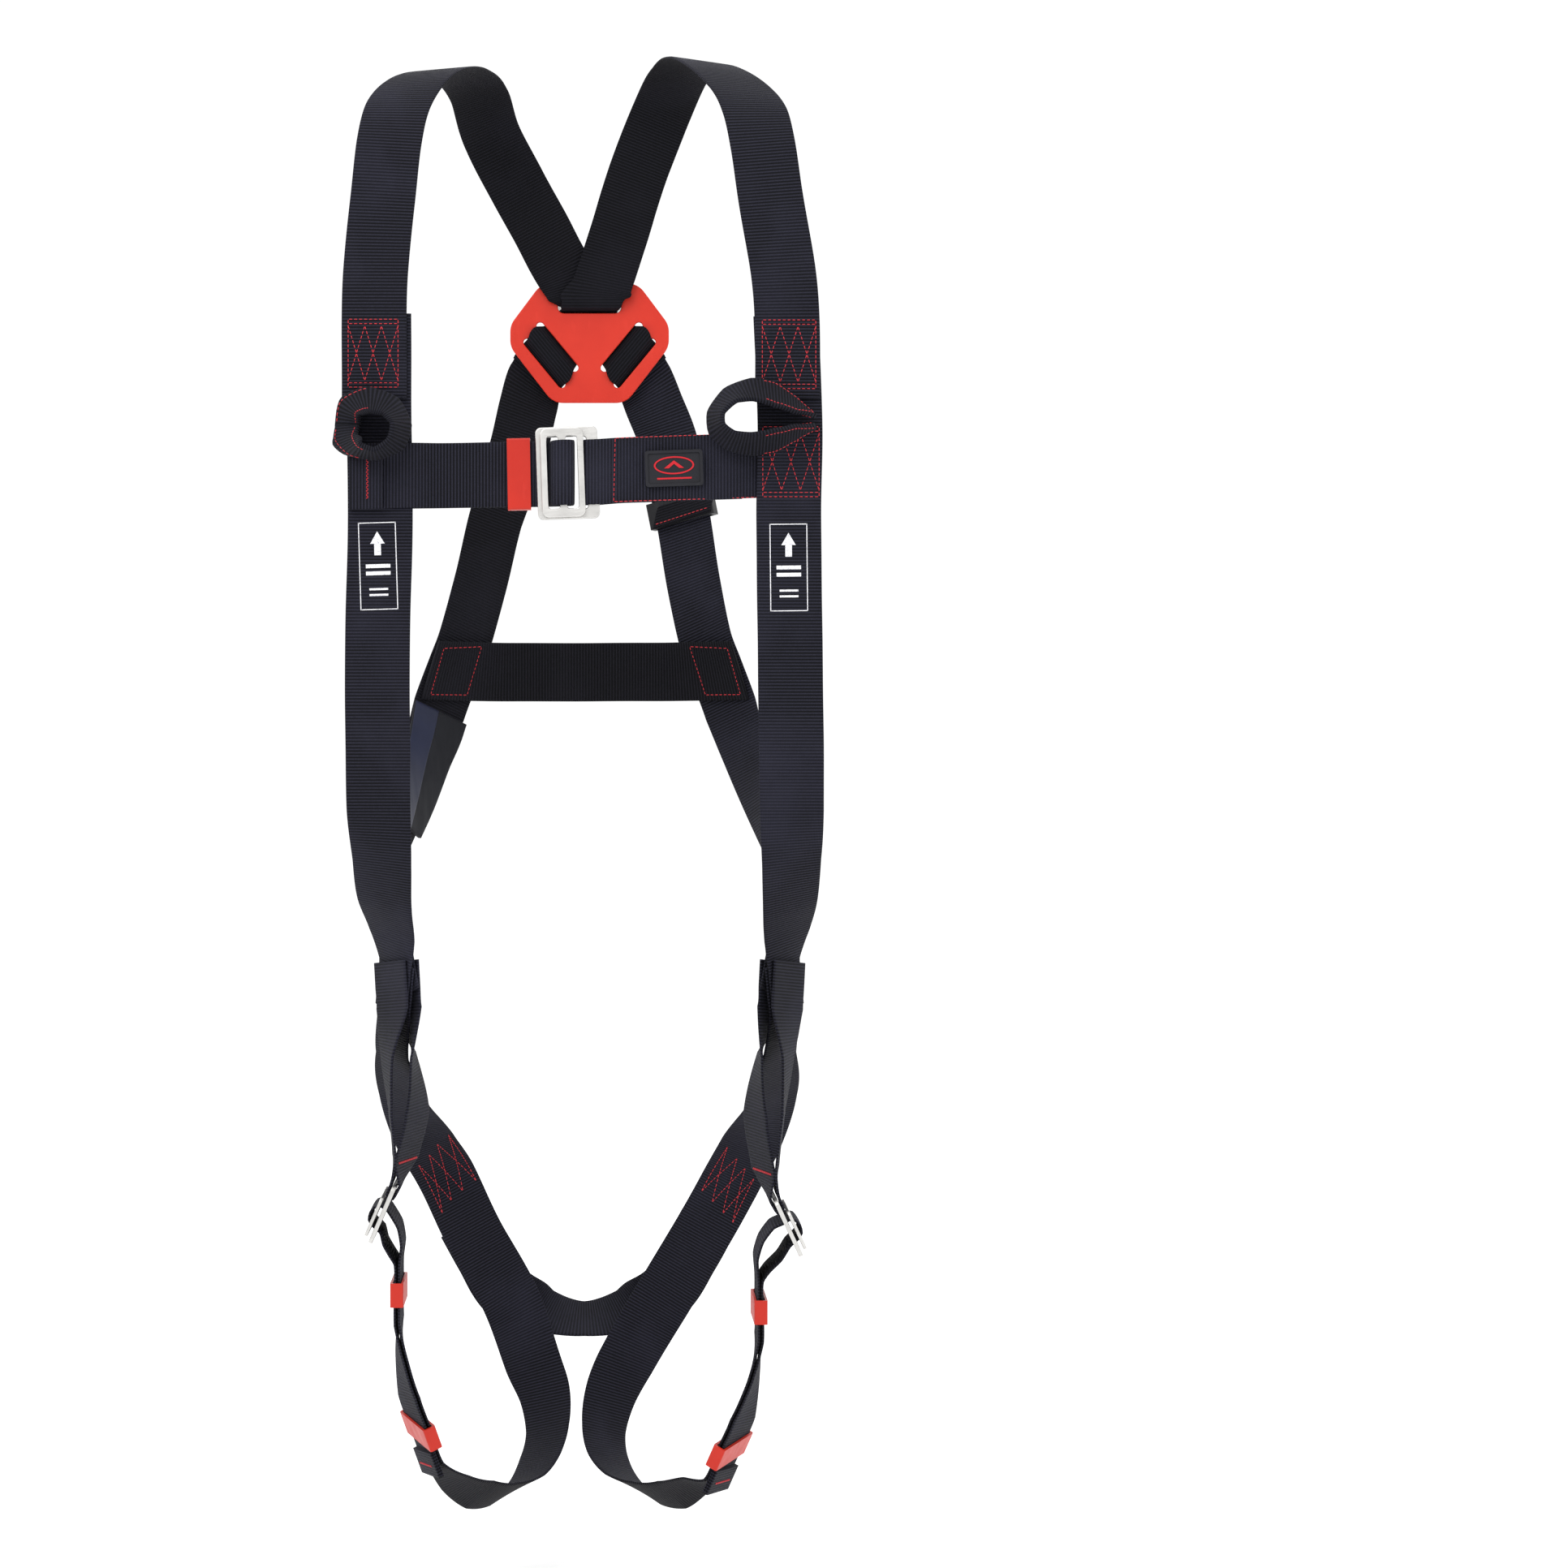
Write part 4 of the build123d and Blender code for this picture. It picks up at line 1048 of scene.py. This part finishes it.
def pressed_plate(name, plane, outer, holes, low, high, bevel, material, body):
    """A flat plate with holes, between two local heights, with rounded edges."""
    curve = bpy.data.curves.new(f"{name}_outline", "CURVE")
    curve.dimensions = "2D"
    curve.fill_mode = "BOTH"
    for outline in (outer, *holes):
        spline = curve.splines.new("POLY")
        spline.points.add(len(outline) - 1)
        for point, (x, y) in zip(spline.points, outline):
            point.co = (x, y, 0, 1)
        spline.use_cyclic_u = True
    curve.extrude = (high - low) / 2 - bevel
    curve.bevel_depth = bevel
    curve.bevel_resolution = 3
    curve.offset = -bevel
    shape = bpy.data.objects.new(f"{name}_shape", curve)
    bpy.context.collection.objects.link(shape)
    bpy.context.view_layer.update()
    data = bpy.data.meshes.new_from_object(shape.evaluated_get(bpy.context.evaluated_depsgraph_get()))
    bpy.data.objects.remove(shape)
    data.name = name
    data.transform(plane.matrix() @ Matrix.Translation((0, 0, (low + high) / 2)))
    data.materials.clear()
    for polygon in data.polygons:
        polygon.use_smooth = True
    piece = link(name, data, material, body)
    weld = piece.modifiers.new("weld", "WELD")
    weld.merge_threshold = 0.00001
    normals = piece.modifiers.new("normals", "WEIGHTED_NORMAL")
    normals.keep_sharp = True
    return piece


def pill(length, tall, centre, turn):
    """Outline of a long slot with round ends, turned about its centre."""
    points = []
    radius = tall / 2
    for sign, start in ((1, -90), (-1, 90)):
        for k in range(ROUND_STEPS + 1):
            angle = math.radians(start + 180 * k / ROUND_STEPS)
            points.append((sign * (length / 2 - radius) + radius * math.cos(angle), radius * math.sin(angle)))
    c, s = math.cos(math.radians(turn)), math.sin(math.radians(turn))
    return [(centre[0] + x * c - y * s, centre[1] + x * s + y * c) for x, y in points]


def rounded_outline(corners, radius):
    """A polygon's outline with its corners rounded."""
    points = []
    count = len(corners)
    for i in range(count):
        corner = Vector(corners[i])
        before = (Vector(corners[i - 1]) - corner).normalized()
        after = (Vector(corners[(i + 1) % count]) - corner).normalized()
        half = before.angle(after) / 2
        cut = radius / math.tan(half)
        centre = corner + (before + after).normalized() * (radius / math.sin(half))
        start = corner + before * cut - centre
        end = corner + after * cut - centre
        for k in range(ROUND_STEPS + 1):
            spoke = start.lerp(end, k / ROUND_STEPS).normalized() * radius
            points.append(tuple(centre + spoke))
    return points


# Width, height and corner radius of each steel outline, then heights over the buckle's plane.
FRAME_OUTLINE, FRAME_WINDOW, FRAME_LOW, FRAME_HIGH = (43, 64, 4), (29, 50, 2), -1.5, 1.5
SMALL_OUTLINE, SMALL_WINDOW, SMALL_LOW, SMALL_HIGH = (30, 62, 5), (8, 50, 1.8), 3.6, 6.0
SMALL_X, WINDOW_X = -3.4, 6.5
STEEL_BEVEL = 0.7


def make_buckle(plane, place, end):
    """A buckle's frame and small plate; place and end give the names of their nodes and bodies."""
    frame_node, plate_node = f"{place}_buckle_frame{end}", f"{place}_buckle_plate{end}"
    frame_piece = pressed_plate(
        f"{frame_node}_steel", plane, rounded_rectangle(*FRAME_OUTLINE),
        [rounded_rectangle(*FRAME_WINDOW, (-1, 0))], FRAME_LOW, FRAME_HIGH, STEEL_BEVEL, STEEL,
        f"{place}_frame{end}",
    )
    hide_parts(frame_node)
    windows = [rounded_rectangle(*SMALL_WINDOW, (SMALL_X + side * WINDOW_X, 0)) for side in (-1, 1)]
    plate_piece = pressed_plate(
        f"{plate_node}_steel", plane, rounded_rectangle(*SMALL_OUTLINE, (SMALL_X, 0)),
        windows, SMALL_LOW, SMALL_HIGH, STEEL_BEVEL, STEEL, f"{place}_plate{end}",
    )
    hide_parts(plate_node)


make_buckle(chest_buckle, "chest", "")
make_buckle(leg_buckle_left, "leg", "_left")
make_buckle(leg_buckle_right, "leg", "_right")

PLATE_THICK, PLATE_BEVEL, PLATE_ROUND = 3.0, 0.8, 16
TOP_SLOT, SLANTED_SLOT, SLOT_TURN = (48.6, 9.2), (47.4, 5.8), 50.5
plate_half = [(37, 18), (61, -14), (61, -31), (28, -74)]
plate_corners = plate_half + [(-x, z) for x, z in reversed(plate_half)]
plate_plane = Plane((0, -29, 0), (1, 0, 0), (0, -1, 0))
slots = [pill(*TOP_SLOT, (0, -0.5), 0)]
for side in (-1, 1):
    for x, z in ((24.7, -31), (34.7, -43.5)):
        slots.append(pill(*SLANTED_SLOT, (side * x, z), side * SLOT_TURN))
dorsal = pressed_plate(
    "dorsal_plate_moulding", plate_plane, rounded_outline(plate_corners, PLATE_ROUND),
    slots, 0, PLATE_THICK, PLATE_BEVEL, ORANGE, "harness",
)
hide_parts("dorsal_plate")


def paint(node, material):
    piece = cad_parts[node]
    for place in piece.material_slots:
        place.material = material


paint("dorsal_d_ring", RING_STEEL)
paint("back_slider", BLACK)
for node in ("chest_keeper", "leg_keeper_upper_left", "leg_keeper_upper_right", "leg_keeper_lower_left",
             "leg_keeper_lower_right"):
    paint(node, KEEPER_ORANGE)
paint("rubber_patch", RUBBER)

# ---- emblem on the rubber patch: a plain ring with a chevron and a bar ----
patch_plane = Plane((58.5, -252.5, -148.4), (1, 0, 0.035), (0, -1, 0))


def ellipse(width, height, centre):
    return [(centre[0] + width / 2 * math.cos(math.tau * k / ELLIPSE_STEPS),
             centre[1] + height / 2 * math.sin(math.tau * k / ELLIPSE_STEPS)) for k in range(ELLIPSE_STEPS)]


RING_CENTRE = (0, 2)
EMBLEM_BEVEL = 0.1
emblem = {
    "patch_ring": (ellipse(28, 12.5, RING_CENTRE), [ellipse(25.6, 10.4, RING_CENTRE)], 0.5),
    "patch_chevron": ([(0, 5.4), (7, 0), (3.6, 0), (0, 3), (-3.6, 0), (-7, 0)], [], 0.5),
    "patch_bar": (bar(0, -7, 24, 1.2), [], 0.4),
}
for name, (outline, holes, tall) in emblem.items():
    pressed_plate(name, patch_plane, outline, holes, 0, tall, EMBLEM_BEVEL, EMBLEM, "harness")

# ---- label pouch ----
POUCH_WIDTH, POUCH_THICK, POUCH_RISE = 48.0, 3.0, 4.2
FILM_WIDTH, FILM_THICK, FILM_RISE, FILM_SHIFT = 21.0, 0.6, 5.9, 13
pouch_run = [
    (-115.6, -54, -313.5, 0.8, 0.48, -0.38),
    (-119, -58.5, -327, 0.74, 0.57, -0.35),
    (-125, -68, -347, 0.62, 0.73, -0.3),
    (-131.5, -83, -374, 0.45, 0.84, -0.3),
    (-138, -101, -400, 0.25, 0.92, -0.3),
]
pouch_face = layered(pouch_run, POUCH_RISE)
pouch, pouch_length = ribbon("label_pouch_cloth", pouch_face, POUCH_DARK, POUCH_WIDTH, thickness=POUCH_THICK)
film_run = []
for station in layered(pouch_run, FILM_RISE):
    centre = Vector(station[:3]) - Vector(station[3:6]).normalized() * FILM_SHIFT
    film_run.append((*centre, *station[3:]))
film, _ = ribbon("label_pouch_film", film_run, POUCH_NAVY, FILM_WIDTH, thickness=FILM_THICK)
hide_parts("label_pouch")

# ---- floor ----
FLOOR_HALF, FLOOR_Z = 60, -0.96         # in metres
floor_corners = [(x * FLOOR_HALF, y * FLOOR_HALF, FLOOR_Z) for x, y in ((-1, -1), (1, -1), (1, 1), (-1, 1))]
floor_mesh = bpy.data.meshes.new("floor")
floor_mesh.from_pydata(floor_corners, [], [(0, 1, 2, 3)])
floor = bpy.data.objects.new("floor", floor_mesh)
bpy.context.collection.objects.link(floor)
floor_shader = Shader("floor_pale", (0.9, 0.9, 0.9), 0.8)
floor_shader.color(floor_shader.blend(floor_shader.noise(3.0), (0.9, 0.9, 0.9), (0.93, 0.93, 0.93)))
floor_shader.surface.inputs["Emission Color"].default_value = (1, 1, 1, 1)
floor_shader.surface.inputs["Emission Strength"].default_value = 0.15
floor_mesh.materials.append(floor_shader.material)
